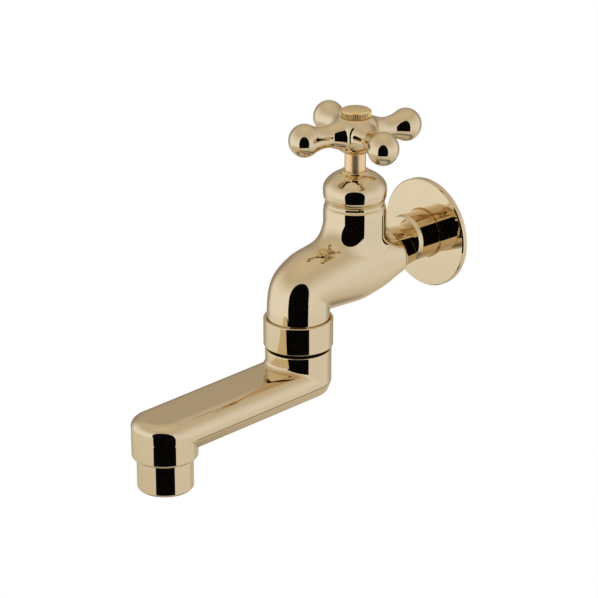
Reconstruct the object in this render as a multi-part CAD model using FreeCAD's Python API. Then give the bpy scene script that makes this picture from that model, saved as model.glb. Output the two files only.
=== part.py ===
import FreeCAD, Part
import math
import os

# A wall-mounted garden tap with a cross handle and a swinging spout, in millimetres.
# The wall is the plane y = 0, the tap stands out from it along -Y, and +Z is up.
# The origin is the middle of the inlet thread where it enters the wall.

# Inlet and wall flange
THREAD_RADIUS = 10.48
THREAD_LENGTH = 14.0
SHANK_RADIUS = 10.6
THREAD_RELIEF_RADIUS = 9.3
THREAD_RELIEF_WIDTH = 1.3
THREAD_TIP_CHAMFER = 1.2
INLET_BORE_RADIUS = 6.0
FLANGE_RADIUS = 24.4
FLANGE_THICKNESS = 2.7
FLANGE_BEVEL = 0.4
GASKET_THICKNESS = 1.2
GASKET_INNER_RADIUS = 13.5
GASKET_OUTER_RADIUS = 21.5
SHANK_END = 13.3
INLET_NECK_RADIUS = 8.95
INLET_NECK_DROP = 2.05

# Body, described by balls that the tube of the casting passes through
SPINDLE_REACH = 44.6
SWIVEL_REACH = 77.3
BOSS_END = 24.6
BOSS_ROUNDING = 3.0
BOSS_BALL_RADIUS = 14.1
BOSS_BALL_INSET = 2.9
BELLY_RADIUS = 15.6
BELLY_DROP = 3.8
BELLY_LEAD = 5.0
ELBOW_RADIUS = 14.1
ELBOW_DROP = 6.3
ELBOW_SETBACK = 2.6
THROAT_RADIUS = 13.5
THROAT_DROP = 10.2
NECK_RADIUS = 13.65
NECK_TOP = 23.2
NECK_RIM_ROUNDING = 1.3
NECK_BLEND = 8.0

# Water passages and seat
SEAT_HEIGHT = -1.0
SEAT_LIP_HEIGHT = 1.0
SEAT_LIP_WIDTH = 1.2
SEAT_BORE_RADIUS = 5.4
SEAT_WALL = 2.6
LOWER_CHAMBER_RADIUS = 6.6
LOWER_CHAMBER_FLOOR = -15.4
RISING_BORE_LIFT = 0.4
UPPER_CHAMBER_RADIUS = 8.2
RISING_BORE_RADIUS = 4.3
FALLING_BORE_RADIUS = 5.6
OUTLET_BORE_RADIUS = 8.9

# Valve and spindle
VALVE_WASHER_RADIUS = 7.0
VALVE_WASHER_THICKNESS = 3.0
VALVE_DISC_RADIUS = 7.3
VALVE_DISC_THICKNESS = 2.0
VALVE_STEM_RADIUS = 2.0
VALVE_STEM_LENGTH = 11.0
VALVE_STUD_RADIUS = 1.5
VALVE_NUT_WIDTH = 5.5
VALVE_NUT_HEIGHT = 2.0
VALVE_LIFT = 3.75
SPINDLE_THREAD_RADIUS = 7.0
SPINDLE_THREAD_LENGTH = 10.0
STEM_RADIUS = 4.6
SQUARE_WIDTH = 6.2

# Gland and bonnet
GLAND_FLOOR_GAP = 0.3
BONNET_THREAD_RADIUS = 10.9
PACKING_WASHER_THICKNESS = 1.4
PACKING_RADIUS = 8.8
PACKING_TOP_RADIUS = 6.0
PACKING_HEIGHT = 4.2
BONNET_GASKET_THICKNESS = 0.8
BONNET_FOOT_RADIUS = 12.2
BONNET_FOOT_HEIGHT = 1.0
BONNET_WAIST_RADIUS = 13.8
BONNET_WAIST_RISE = 5.2
BONNET_SHOULDER_RADIUS = 10.8
BONNET_SHOULDER_RISE = 10.8
BONNET_CROWN_RADIUS = 6.0
BONNET_CROWN_RISE = 13.3
BONNET_LIP_HEIGHT = 0.7
BONNET_SLOPE_HOLLOW = 0.25

# Cross handle
HANDLE_TURN_DEG = 75.0
HUB_RADIUS = 10.3
HUB_CENTRE = 55.7
HUB_DROP = 8.9
HUB_RISE = 7.5
HUB_TOP_RADIUS = 7.1
ARM_COUNT = 4
ARM_NECK_RADIUS = 4.4
ARM_NECK_REACH = 14.2
BALL_REACH = 24.4
BALL_RADIUS = 6.95
CAP_SOCKET_RADIUS = 5.4
CAP_SOCKET_DEPTH = 6.2
STEM_ENTRY = 1.6
CLAMP_GAP = 0.8
SCREW_RADIUS = 2.5
SCREW_LENGTH = 8.0
SCREW_HEAD_RADIUS = 4.3
SCREW_HEAD_HEIGHT = 2.4
SCREW_HEAD_CHAMFER = 0.6
SCREW_SLOT_WIDTH = 1.0
SPRING_WASHER_THICKNESS = 0.8
CAP_UNDERCUT = 0.4
CAP_RADIUS = 6.75
CAP_KNURL_COUNT = 45
CAP_KNURL_DEPTH = 0.3
CAP_KNURL_HEIGHT = 1.9
CAP_EDGE_SETBACK = 0.45
CAP_DOME_RISE = 1.0
CAP_DOME_FULLNESS = 0.38
CAP_SPIGOT_LENGTH = 2.4

# Swivel joint
COLLAR_RADIUS = 15.0
COLLAR_TOP = -19.7
COLLAR_HEIGHT = 12.3
COLLAR_RECESS_DEPTH = 1.8
COLLAR_LIP_HEIGHT = 2.3
COLLAR_CHAMFER = 0.4
SWIVEL_THREAD_RADIUS = 12.9
SWIVEL_PACKING_RADIUS = 11.1
SWIVEL_PACKING_HEIGHT = 3.1
SWIVEL_WASHER_THICKNESS = 0.9
SWIVEL_WASHER_RADIUS = 12.4
RETAINING_RING_THICKNESS = 1.0
RETAINING_RING_RADIUS = 12.6
RETAINING_RING_GAP_DEG = 30.0
NECK_HEAD_HEIGHT = 0.6
SPOUT_NECK_RADIUS = 11.8
SPOUT_GROOVE_RADIUS = 10.6
SPOUT_TUBE_RADIUS = 8.5
SPOUT_TUBE_RISE = 5.0
SPOUT_BORE_RADIUS = 7.1
SWIVEL_SHOW_GAP = 1.0

# Spout arm, whose photographed position is a few degrees off straight ahead
SPOUT_TURN_DEG = 4.06
ARM_LENGTH = 79.2
RISER_RADIUS = 14.3
ARM_TIP_RADIUS = 13.9
ARM_TOP = -40.2
ARM_DEPTH = 13.5
ARM_TOP_ROUNDING = 6.4
ARM_BOTTOM_ROUNDING = 3.0
ARM_CHANNEL_RADIUS = 4.2
OUTLET_DROP = 4.2
OUTLET_EDGE_ROUNDING = 1.0
RISER_EDGE_ROUNDING = 0.4

# Outlet nozzle
NOZZLE_RADIUS = 11.85
NOZZLE_LENGTH = 14.3
NOZZLE_EDGE_ROUNDING = 1.2
NOZZLE_THREAD_RADIUS = 10.4
NOZZLE_THREAD_LENGTH = 6.4
NOZZLE_BORE_RADIUS = 8.6
NOZZLE_MOUTH_RADIUS = 10.2
NOZZLE_MOUTH_DEPTH = 9.0
OUTLET_GASKET_THICKNESS = 0.8
SCREEN_THICKNESS = 0.6
SCREEN_HOLE_RADIUS = 0.45
SCREEN_HOLE_PITCH = 1.7
PIERCED_MARGIN = 0.3
STRAIGHTENER_THICKNESS = 4.0
STRAIGHTENER_HOLE_RADIUS = 0.9
STRAIGHTENER_HOLE_PITCH = 2.6
OUTLET_RING_THICKNESS = 0.9
OUTLET_RING_WIDTH = 1.0

# Fits
RUNNING_FIT = 0.06
THREAD_FIT = 0.05
TOUCH_GAP = 0.02
CLEAR_GAP = 0.3

# Heights that follow from the sizes above
CHAMBER_FLOOR = SEAT_HEIGHT - SEAT_LIP_HEIGHT
WASHER_BOTTOM = SEAT_HEIGHT + TOUCH_GAP
DISC_BOTTOM = WASHER_BOTTOM + VALVE_WASHER_THICKNESS
DISC_TOP = DISC_BOTTOM + VALVE_DISC_THICKNESS
SPINDLE_SHOULDER = DISC_TOP + SPINDLE_THREAD_LENGTH
GLAND_FLOOR = SPINDLE_SHOULDER + VALVE_LIFT + GLAND_FLOOR_GAP
PACKING_BOTTOM = GLAND_FLOOR + PACKING_WASHER_THICKNESS
PACKING_TOP = PACKING_BOTTOM + PACKING_HEIGHT
BONNET_FOOT = NECK_TOP + BONNET_GASKET_THICKNESS
HUB_BOTTOM = HUB_CENTRE - HUB_DROP
HUB_TOP = HUB_CENTRE + HUB_RISE
HANDLE_FLOOR = HUB_TOP - CAP_SOCKET_DEPTH
SQUARE_START = HUB_BOTTOM + STEM_ENTRY
SQUARE_TOP = HANDLE_FLOOR - CLAMP_GAP
COLLAR_BOTTOM = COLLAR_TOP - COLLAR_HEIGHT
COLLAR_LIP_TOP = COLLAR_BOTTOM + COLLAR_LIP_HEIGHT
RING_TOP = COLLAR_LIP_TOP + RETAINING_RING_THICKNESS
NECK_HEAD_TOP = RING_TOP + TOUCH_GAP + NECK_HEAD_HEIGHT
SPOUT_TUBE_TOP = NECK_HEAD_TOP + SPOUT_TUBE_RISE
BODY_END = NECK_HEAD_TOP + TOUCH_GAP + SWIVEL_WASHER_THICKNESS
RISER_TOP = COLLAR_BOTTOM - SWIVEL_SHOW_GAP
ARM_BOTTOM = ARM_TOP - ARM_DEPTH
OUTLET_FACE = ARM_BOTTOM - OUTLET_DROP
NOZZLE_BOTTOM = OUTLET_FACE - NOZZLE_LENGTH
MOUTH_SHOULDER = NOZZLE_BOTTOM + NOZZLE_MOUTH_DEPTH
SCREEN_BOTTOM = MOUTH_SHOULDER - SCREEN_THICKNESS
STRAIGHTENER_BOTTOM = SCREEN_BOTTOM - STRAIGHTENER_THICKNESS
SOCKET_TOP = OUTLET_FACE + NOZZLE_THREAD_LENGTH + OUTLET_GASKET_THICKNESS

SPINDLE = (0.0, -SPINDLE_REACH)
SWIVEL = (0.0, -SWIVEL_REACH)
OUTLET = (0.0, -SWIVEL_REACH - ARM_LENGTH)


def vec(x, y, z):
    return FreeCAD.Vector(x, y, z)


# Basic shapes

def post(place, radius, bottom, top):
    """An upright cylinder."""
    return Part.makeCylinder(radius, top - bottom, vec(place[0], place[1], bottom))


def ring(place, inner, outer, bottom, top):
    """An upright tube with flat ends."""
    return post(place, outer, bottom, top).cut(post(place, inner, bottom - 1, top + 1))


def outline_edges(start, steps):
    """Edges through (radius, height) points; a step of two points is an arc, its middle first."""
    edges = []
    here = start
    for step in steps + [start]:
        if isinstance(step[0], tuple):
            middle, end = step
            edges.append(Part.Arc(vec(here[0], 0, here[1]), vec(middle[0], 0, middle[1]),
                                  vec(end[0], 0, end[1])).toShape())
            here = end
        elif step != here:
            edges.append(Part.makeLine(vec(here[0], 0, here[1]), vec(step[0], 0, step[1])))
            here = step
    return edges


def turned(place, start, steps):
    """A solid turned about the upright line through place, from its (radius, height) outline."""
    face = Part.Face(Part.Wire(outline_edges(start, steps)))
    solid = face.revolve(vec(0, 0, 0), vec(0, 0, 1), 360)
    solid.translate(vec(place[0], place[1], 0))
    return solid


def toward_wall(solid):
    """Lay an upright solid down so that its +Z points along +Y, about the inlet axis."""
    solid.rotate(vec(0, 0, 0), vec(1, 0, 0), -90)
    return solid


def bore(start, end, radius):
    """A cylinder between two points."""
    line = vec(*end).sub(vec(*start))
    return Part.makeCylinder(radius, line.Length, vec(*start), line)


def soften(solid, radius, chosen):
    """Round the edges that the test chosen(edge) picks."""
    return solid.makeFillet(radius, [edge for edge in solid.Edges if chosen(edge)])


def level_edge(height, place, radius):
    """A test for the level circle of this radius about place."""
    def chosen(edge):
        box = edge.BoundBox
        level = abs(box.ZMin - height) < 0.01 and abs(box.ZMax - height) < 0.01
        point = edge.valueAt(edge.FirstParameter)
        return level and abs(math.hypot(point.x - place[0], point.y - place[1]) - radius) < 0.01
    return chosen


def polygon_prism(place, points, bottom, top):
    """An upright prism on a closed outline of (x, y) points about place."""
    corners = [vec(place[0] + x, place[1] + y, bottom) for x, y in points]
    face = Part.Face(Part.makePolygon(corners + corners[:1]))
    return face.extrude(vec(0, 0, top - bottom))


def around(count, radius, start_deg=0.0):
    """Points evenly round a circle."""
    turns = [math.radians(start_deg + 360.0 * index / count) for index in range(count)]
    return [(radius * math.cos(turn), radius * math.sin(turn)) for turn in turns]


def square_bar(width, bottom, top):
    """The square that locks the handle to the spindle, set square to the handle's arms."""
    corners = around(4, width / math.sqrt(2), HANDLE_TURN_DEG + 45)
    return polygon_prism(SPINDLE, corners, bottom, top)


def swung(solid):
    """Turn a piece of the spout from straight ahead to where it rests."""
    solid.rotate(vec(SWIVEL[0], SWIVEL[1], 0), vec(0, 0, 1), SPOUT_TURN_DEG)
    return solid


# Inlet and wall flange

def wall_flange():
    hole = SHANK_RADIUS + THREAD_FIT
    back = 0.0
    front = -FLANGE_THICKNESS
    disc = turned((0, 0), (hole, front), [
        (FLANGE_RADIUS - FLANGE_BEVEL, front),
        (FLANGE_RADIUS, front + FLANGE_BEVEL),
        (FLANGE_RADIUS, back),
        (GASKET_OUTER_RADIUS + THREAD_FIT, back),
        (GASKET_OUTER_RADIUS + THREAD_FIT, back - GASKET_THICKNESS),
        (GASKET_INNER_RADIUS - THREAD_FIT, back - GASKET_THICKNESS),
        (GASKET_INNER_RADIUS - THREAD_FIT, back),
        (hole, back),
    ])
    return toward_wall(disc)


def flange_gasket():
    return toward_wall(ring((0, 0), GASKET_INNER_RADIUS, GASKET_OUTER_RADIUS, -GASKET_THICKNESS, 0))


# Body casting

def rolled_stretch(ball_a, ball_b):
    """The solid that a ball sweeps while it rolls from one place to the next and changes size."""
    (y_a, z_a, radius_a), (y_b, z_b, radius_b) = ball_a, ball_b
    run = vec(0, y_b - y_a, z_b - z_a)
    length = run.Length
    lean = math.asin((radius_a - radius_b) / length)

    def on_ball(centre, radius, angle):
        return (radius * math.cos(angle), centre + radius * math.sin(angle))

    solid = turned((0, 0), (0, -radius_a), [
        (on_ball(0, radius_a, (lean - math.pi / 2) / 2), on_ball(0, radius_a, lean)),
        on_ball(length, radius_b, lean),
        (on_ball(length, radius_b, (lean + math.pi / 2) / 2), (0, length + radius_b)),
    ])
    solid.Placement = FreeCAD.Placement(vec(0, y_a, z_a), FreeCAD.Rotation(vec(0, 0, 1), run))
    return solid


def body_outside():
    balls = [
        (-BOSS_END - BOSS_BALL_INSET, 0.0, BOSS_BALL_RADIUS),
        (-SPINDLE_REACH - BELLY_LEAD, -BELLY_DROP, BELLY_RADIUS),
        (-SWIVEL_REACH + ELBOW_SETBACK, -ELBOW_DROP, ELBOW_RADIUS),
        (-SWIVEL_REACH, -THROAT_DROP, THROAT_RADIUS),
        (-SWIVEL_REACH, BODY_END - THROAT_RADIUS, THROAT_RADIUS),
    ]
    stretches = [rolled_stretch(first, second) for first, second in zip(balls, balls[1:])]
    tube = stretches[0].multiFuse(stretches[1:])
    solid = tube.fuse(post(SPINDLE, NECK_RADIUS, -BELLY_DROP, NECK_TOP))

    def neck_foot(edge):
        box = edge.BoundBox
        middle = edge.valueAt((edge.FirstParameter + edge.LastParameter) / 2)
        on_neck = abs(math.hypot(middle.x, middle.y + SPINDLE_REACH) - NECK_RADIUS) < 0.01
        return on_neck and box.ZMin > 0 and box.ZMax < NECK_TOP - 1 and edge.Curve.TypeId != "Part::GeomLine"

    solid = soften(solid, NECK_BLEND, neck_foot)
    reach = SWIVEL_REACH + FLANGE_RADIUS
    wall_side = Part.makeBox(2 * reach, reach, 2 * reach, vec(-reach, -BOSS_END, -reach))
    below = Part.makeBox(2 * reach, 2 * reach, reach, vec(-reach, -2 * reach, BODY_END - reach))
    solid = solid.cut(wall_side).cut(below)

    def boss_edge(edge):
        box = edge.BoundBox
        return abs(box.YMin + BOSS_END) < 0.01 and abs(box.YMax + BOSS_END) < 0.01

    solid = soften(solid, BOSS_ROUNDING, boss_edge)
    return soften(solid, NECK_RIM_ROUNDING, level_edge(NECK_TOP, SPINDLE, NECK_RADIUS))


def inlet_shank():
    neck = bore((0, -BOSS_END - BOSS_ROUNDING, -INLET_NECK_DROP), (0, -SHANK_END, -INLET_NECK_DROP),
                INLET_NECK_RADIUS)
    rod = toward_wall(turned((0, 0), (0, -SHANK_END), [
        (SHANK_RADIUS, -SHANK_END),
        (SHANK_RADIUS, -THREAD_RELIEF_WIDTH),
        (THREAD_RELIEF_RADIUS, -THREAD_RELIEF_WIDTH),
        (THREAD_RELIEF_RADIUS, 0),
        (THREAD_RADIUS, 0),
        (THREAD_RADIUS, THREAD_LENGTH - THREAD_TIP_CHAMFER),
        (THREAD_RADIUS - THREAD_TIP_CHAMFER, THREAD_LENGTH),
        (0, THREAD_LENGTH),
    ]))
    return neck.fuse(rod)


def water_passages():
    """Everything that is hollow in the casting, as one solid."""
    bore_height = -INLET_NECK_DROP / 2
    chamber_wall = -SPINDLE_REACH + LOWER_CHAMBER_RADIUS
    rise_start = (0, -BOSS_END, bore_height)
    rise_end = (0, chamber_wall - RISING_BORE_RADIUS / 2,
                LOWER_CHAMBER_FLOOR + RISING_BORE_RADIUS + RISING_BORE_LIFT)
    lower_top = CHAMBER_FLOOR - SEAT_WALL
    fall_start = (0, -SPINDLE_REACH - UPPER_CHAMBER_RADIUS / 2, CHAMBER_FLOOR + FALLING_BORE_RADIUS)
    fall_end = (0, -SWIVEL_REACH, -THROAT_DROP)
    neck_thread = SPINDLE_THREAD_RADIUS + RUNNING_FIT
    thread_foot = DISC_TOP + SPINDLE_THREAD_LENGTH / 2
    upper = turned(SPINDLE, (0, lower_top - 1), [
        (SEAT_BORE_RADIUS, lower_top - 1),
        (SEAT_BORE_RADIUS, SEAT_HEIGHT),
        (SEAT_BORE_RADIUS + SEAT_LIP_WIDTH, SEAT_HEIGHT),
        (SEAT_BORE_RADIUS + SEAT_LIP_WIDTH, CHAMBER_FLOOR),
        (UPPER_CHAMBER_RADIUS, CHAMBER_FLOOR),
        (UPPER_CHAMBER_RADIUS, thread_foot),
        (neck_thread, thread_foot),
        (neck_thread, GLAND_FLOOR),
        (BONNET_THREAD_RADIUS + THREAD_FIT, GLAND_FLOOR),
        (BONNET_THREAD_RADIUS + THREAD_FIT, NECK_TOP + 1),
        (0, NECK_TOP + 1),
    ])
    fall_ball = Part.makeSphere(FALLING_BORE_RADIUS, vec(*fall_end))
    packing_room = post(SWIVEL, SWIVEL_PACKING_RADIUS + THREAD_FIT, BODY_END - 1,
                        BODY_END + SWIVEL_PACKING_HEIGHT)
    return bore(rise_start, (0, THREAD_LENGTH + 1, bore_height), INLET_BORE_RADIUS).multiFuse([
        Part.makeSphere(INLET_BORE_RADIUS, vec(*rise_start)),
        bore(rise_start, rise_end, RISING_BORE_RADIUS),
        post(SPINDLE, LOWER_CHAMBER_RADIUS, LOWER_CHAMBER_FLOOR, lower_top),
        upper,
        bore(fall_start, fall_end, FALLING_BORE_RADIUS),
        fall_ball,
        post(SWIVEL, OUTLET_BORE_RADIUS, BODY_END - 1, -THROAT_DROP - FALLING_BORE_RADIUS),
        post(SWIVEL, FALLING_BORE_RADIUS, -THROAT_DROP - FALLING_BORE_RADIUS - 1, -THROAT_DROP),
        packing_room,
    ])


def tap_body():
    thread_relief = ring(SWIVEL, SWIVEL_THREAD_RADIUS, SWIVEL_THREAD_RADIUS + THROAT_RADIUS,
                         BODY_END - 1, COLLAR_TOP - COLLAR_RECESS_DEPTH + CLEAR_GAP)
    collar_room = ring(SWIVEL, THROAT_RADIUS, COLLAR_RADIUS + CLEAR_GAP, BODY_END - 1, COLLAR_TOP + TOUCH_GAP)
    solid = body_outside().fuse(inlet_shank())
    return solid.cut(collar_room).cut(thread_relief).cut(water_passages())


# Valve

def valve_washer():
    return ring(SPINDLE, VALVE_STUD_RADIUS + THREAD_FIT, VALVE_WASHER_RADIUS, WASHER_BOTTOM, DISC_BOTTOM)


def valve_jumper():
    stud_end = WASHER_BOTTOM - VALVE_NUT_HEIGHT - VALVE_STUD_RADIUS / 2
    return turned(SPINDLE, (0, stud_end), [
        (VALVE_STUD_RADIUS, stud_end),
        (VALVE_STUD_RADIUS, DISC_BOTTOM),
        (VALVE_DISC_RADIUS, DISC_BOTTOM),
        (VALVE_DISC_RADIUS, DISC_TOP),
        (VALVE_STEM_RADIUS, DISC_TOP),
        (VALVE_STEM_RADIUS, DISC_TOP + VALVE_STEM_LENGTH),
        (0, DISC_TOP + VALVE_STEM_LENGTH),
    ])


def valve_nut():
    corners = around(6, VALVE_NUT_WIDTH / math.sqrt(3))
    hexagon = polygon_prism(SPINDLE, corners, WASHER_BOTTOM - VALVE_NUT_HEIGHT, WASHER_BOTTOM)
    hole = post(SPINDLE, VALVE_STUD_RADIUS + THREAD_FIT, WASHER_BOTTOM - VALVE_NUT_HEIGHT - 1, DISC_BOTTOM)
    return hexagon.cut(hole)


def spindle():
    bottom = DISC_TOP + TOUCH_GAP
    solid = turned(SPINDLE, (0, bottom), [
        (SPINDLE_THREAD_RADIUS, bottom),
        (SPINDLE_THREAD_RADIUS, SPINDLE_SHOULDER),
        (STEM_RADIUS, SPINDLE_SHOULDER),
        (STEM_RADIUS, SQUARE_START),
        (0, SQUARE_START),
    ])
    solid = solid.fuse(square_bar(SQUARE_WIDTH, SQUARE_START, SQUARE_TOP))
    jumper_bore = post(SPINDLE, VALVE_STEM_RADIUS + RUNNING_FIT, bottom - 1,
                       DISC_TOP + VALVE_STEM_LENGTH + CLEAR_GAP)
    screw_end = HANDLE_FLOOR - SCREW_LENGTH - CLEAR_GAP
    screw_bore = post(SPINDLE, SCREW_RADIUS + THREAD_FIT, screw_end, SQUARE_TOP + 1)
    return solid.cut(jumper_bore).cut(screw_bore)


# Gland and bonnet

def packing_washer():
    return ring(SPINDLE, STEM_RADIUS + RUNNING_FIT, PACKING_RADIUS, GLAND_FLOOR, PACKING_BOTTOM)


def gland_packing():
    inner = STEM_RADIUS + RUNNING_FIT
    return turned(SPINDLE, (inner, PACKING_BOTTOM), [
        (PACKING_RADIUS, PACKING_BOTTOM),
        (PACKING_TOP_RADIUS, PACKING_TOP),
        (inner, PACKING_TOP),
    ])


def bonnet_gasket():
    return ring(SPINDLE, BONNET_THREAD_RADIUS + THREAD_FIT, BONNET_FOOT_RADIUS, NECK_TOP, BONNET_FOOT)


def bonnet_nut():
    stem_hole = STEM_RADIUS + RUNNING_FIT
    packing_mouth = PACKING_RADIUS + THREAD_FIT
    skirt_bottom = GLAND_FLOOR + CLEAR_GAP
    bulge_start = BONNET_FOOT + BONNET_FOOT_HEIGHT
    shoulder = bulge_start + BONNET_SHOULDER_RISE
    crown = bulge_start + BONNET_CROWN_RISE
    slope_middle = ((BONNET_SHOULDER_RADIUS + BONNET_CROWN_RADIUS) / 2 + BONNET_SLOPE_HOLLOW,
                    (shoulder + crown) / 2 + BONNET_SLOPE_HOLLOW)
    lip_top = crown + BONNET_LIP_HEIGHT
    lip_radius = BONNET_CROWN_RADIUS - BONNET_LIP_HEIGHT / 2
    return turned(SPINDLE, (packing_mouth, skirt_bottom), [
        (BONNET_THREAD_RADIUS, skirt_bottom),
        (BONNET_THREAD_RADIUS, BONNET_FOOT),
        (BONNET_FOOT_RADIUS, BONNET_FOOT),
        (BONNET_FOOT_RADIUS, bulge_start),
        ((BONNET_WAIST_RADIUS, bulge_start + BONNET_WAIST_RISE), (BONNET_SHOULDER_RADIUS, shoulder)),
        (slope_middle, (BONNET_CROWN_RADIUS, crown)),
        ((BONNET_CROWN_RADIUS + BONNET_LIP_HEIGHT / 4, crown + BONNET_LIP_HEIGHT / 2), (lip_radius, lip_top)),
        (stem_hole, lip_top),
        (stem_hole, PACKING_TOP + TOUCH_GAP),
        (PACKING_TOP_RADIUS + THREAD_FIT, PACKING_TOP + TOUCH_GAP),
        (packing_mouth, PACKING_BOTTOM + TOUCH_GAP),
    ])


# Handle

def hub():
    foot_radius = math.sqrt(HUB_RADIUS ** 2 - HUB_DROP ** 2)
    return turned(SPINDLE, (0, HUB_BOTTOM), [
        (foot_radius, HUB_BOTTOM),
        ((HUB_RADIUS, HUB_CENTRE), (HUB_TOP_RADIUS, HUB_TOP)),
        (0, HUB_TOP),
    ])


def handle_arm():
    """One arm with its ball, upright: the ball, then a hollow curve that narrows to the neck."""
    reach = BALL_REACH - ARM_NECK_REACH
    # The hollow's radius makes it touch the ball where it leaves it
    hollow = (reach ** 2 + ARM_NECK_RADIUS ** 2 - BALL_RADIUS ** 2) / (2 * (BALL_RADIUS - ARM_NECK_RADIUS))
    centre = (ARM_NECK_RADIUS + hollow, ARM_NECK_REACH)
    share = BALL_RADIUS / (BALL_RADIUS + hollow)
    meet = (centre[0] * share, BALL_REACH - reach * share)
    meet_angle = math.atan2(meet[1] - BALL_REACH, meet[0])
    over_angle = (meet_angle + math.pi / 2) / 2
    over_ball = (BALL_RADIUS * math.cos(over_angle), BALL_REACH + BALL_RADIUS * math.sin(over_angle))
    root_share = 1 - hollow / math.hypot(*centre)
    root = (centre[0] * root_share, centre[1] * root_share)
    return turned((0, 0), (0, root[1]), [
        root,
        ((ARM_NECK_RADIUS, ARM_NECK_REACH), meet),
        (over_ball, (0, BALL_REACH + BALL_RADIUS)),
    ])


def cross_handle():
    solid = hub()
    arms = []
    for index in range(ARM_COUNT):
        turn = HANDLE_TURN_DEG + 360.0 * index / ARM_COUNT
        arm = handle_arm()
        arm.rotate(vec(0, 0, 0), vec(0, 1, 0), 90)
        arm.rotate(vec(0, 0, 0), vec(0, 0, 1), turn)
        arm.translate(vec(SPINDLE[0], SPINDLE[1], HUB_CENTRE))
        arms.append(arm)
    solid = solid.multiFuse(arms)
    stem_room = post(SPINDLE, STEM_RADIUS + THREAD_FIT, HUB_BOTTOM - 1, SQUARE_START + TOUCH_GAP)
    square_room = square_bar(SQUARE_WIDTH + 2 * THREAD_FIT, SQUARE_START - 1, HANDLE_FLOOR + 1)
    cap_room = post(SPINDLE, CAP_SOCKET_RADIUS, HANDLE_FLOOR, HUB_TOP + BALL_RADIUS)
    return solid.cut(stem_room).cut(square_room).cut(cap_room)


def spring_washer():
    return ring(SPINDLE, SCREW_RADIUS + 2 * THREAD_FIT, SCREW_HEAD_RADIUS, HANDLE_FLOOR,
                HANDLE_FLOOR + SPRING_WASHER_THICKNESS)


def handle_screw():
    head = HANDLE_FLOOR + SPRING_WASHER_THICKNESS
    head_top = head + SCREW_HEAD_HEIGHT
    solid = turned(SPINDLE, (0, HANDLE_FLOOR - SCREW_LENGTH), [
        (SCREW_RADIUS, HANDLE_FLOOR - SCREW_LENGTH),
        (SCREW_RADIUS, head),
        (SCREW_HEAD_RADIUS, head),
        (SCREW_HEAD_RADIUS, head_top - SCREW_HEAD_CHAMFER),
        (SCREW_HEAD_RADIUS - SCREW_HEAD_CHAMFER, head_top),
        (0, head_top),
    ])
    slot = Part.makeBox(4 * SCREW_HEAD_RADIUS, SCREW_SLOT_WIDTH, SCREW_HEAD_HEIGHT,
                        vec(-2 * SCREW_HEAD_RADIUS, -SPINDLE_REACH - SCREW_SLOT_WIDTH / 2,
                            head_top - SCREW_HEAD_HEIGHT / 2))
    return solid.cut(slot)


def handle_cap():
    knurl_bottom = HUB_TOP + CAP_UNDERCUT
    knurl_top = knurl_bottom + CAP_KNURL_HEIGHT
    spigot = CAP_SOCKET_RADIUS - THREAD_FIT
    rim = CAP_RADIUS - 2 * CAP_KNURL_DEPTH
    dome_edge = CAP_RADIUS - CAP_EDGE_SETBACK
    dome_middle = (dome_edge / math.sqrt(2), knurl_top + CAP_DOME_RISE * (1 - CAP_DOME_FULLNESS))
    core = turned(SPINDLE, (0, HUB_TOP - CAP_SPIGOT_LENGTH), [
        (spigot, HUB_TOP - CAP_SPIGOT_LENGTH),
        (spigot, HUB_TOP),
        (rim, HUB_TOP),
        (rim, knurl_top),
        (dome_edge, knurl_top),
        (dome_middle, (0, knurl_top + CAP_DOME_RISE)),
    ])
    ridges = around(CAP_KNURL_COUNT, CAP_RADIUS)
    grooves = around(CAP_KNURL_COUNT, CAP_RADIUS - CAP_KNURL_DEPTH, 180.0 / CAP_KNURL_COUNT)
    outline = [point for pair in zip(ridges, grooves) for point in pair]
    return core.fuse(polygon_prism(SPINDLE, outline, knurl_bottom, knurl_top))


# Swivel joint

def swivel_nut():
    recess = COLLAR_TOP - COLLAR_RECESS_DEPTH
    throat = THROAT_RADIUS + CLEAR_GAP
    thread = SWIVEL_THREAD_RADIUS + THREAD_FIT
    lip = SPOUT_NECK_RADIUS + RUNNING_FIT
    edge = COLLAR_RADIUS - COLLAR_CHAMFER
    return turned(SWIVEL, (throat, COLLAR_TOP), [
        (edge, COLLAR_TOP),
        (COLLAR_RADIUS, COLLAR_TOP - COLLAR_CHAMFER),
        (COLLAR_RADIUS, COLLAR_BOTTOM + COLLAR_CHAMFER),
        (edge, COLLAR_BOTTOM),
        (lip, COLLAR_BOTTOM),
        (lip, COLLAR_LIP_TOP),
        (thread, COLLAR_LIP_TOP),
        (thread, recess),
        (throat, recess),
    ])


def swivel_packing():
    """A cup seal: a ring with a groove in its top edge."""
    inner = SPOUT_TUBE_RADIUS + RUNNING_FIT
    middle = (inner + SWIVEL_PACKING_RADIUS) / 2
    groove = (SWIVEL_PACKING_RADIUS - inner) / 6
    top = BODY_END + SWIVEL_PACKING_HEIGHT
    return turned(SWIVEL, (inner, BODY_END), [
        (SWIVEL_PACKING_RADIUS, BODY_END),
        (SWIVEL_PACKING_RADIUS, top),
        (middle + groove, top),
        (middle, top - SWIVEL_PACKING_HEIGHT / 2),
        (middle - groove, top),
        (inner, top),
    ])


def swivel_washer():
    return ring(SWIVEL, SPOUT_TUBE_RADIUS + CLEAR_GAP, SWIVEL_WASHER_RADIUS,
                BODY_END - SWIVEL_WASHER_THICKNESS, BODY_END)


def retaining_ring():
    whole = ring(SWIVEL, SPOUT_GROOVE_RADIUS + THREAD_FIT, RETAINING_RING_RADIUS, COLLAR_LIP_TOP, RING_TOP)
    half_gap = math.radians(RETAINING_RING_GAP_DEG / 2)
    far = 2 * RETAINING_RING_RADIUS
    wedge = [(0, 0), (far * math.cos(half_gap), -far * math.sin(half_gap)),
             (far * math.cos(half_gap), far * math.sin(half_gap))]
    return swung(whole.cut(polygon_prism(SWIVEL, wedge, COLLAR_LIP_TOP - 1, RING_TOP + 1)))


# Spout

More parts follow.
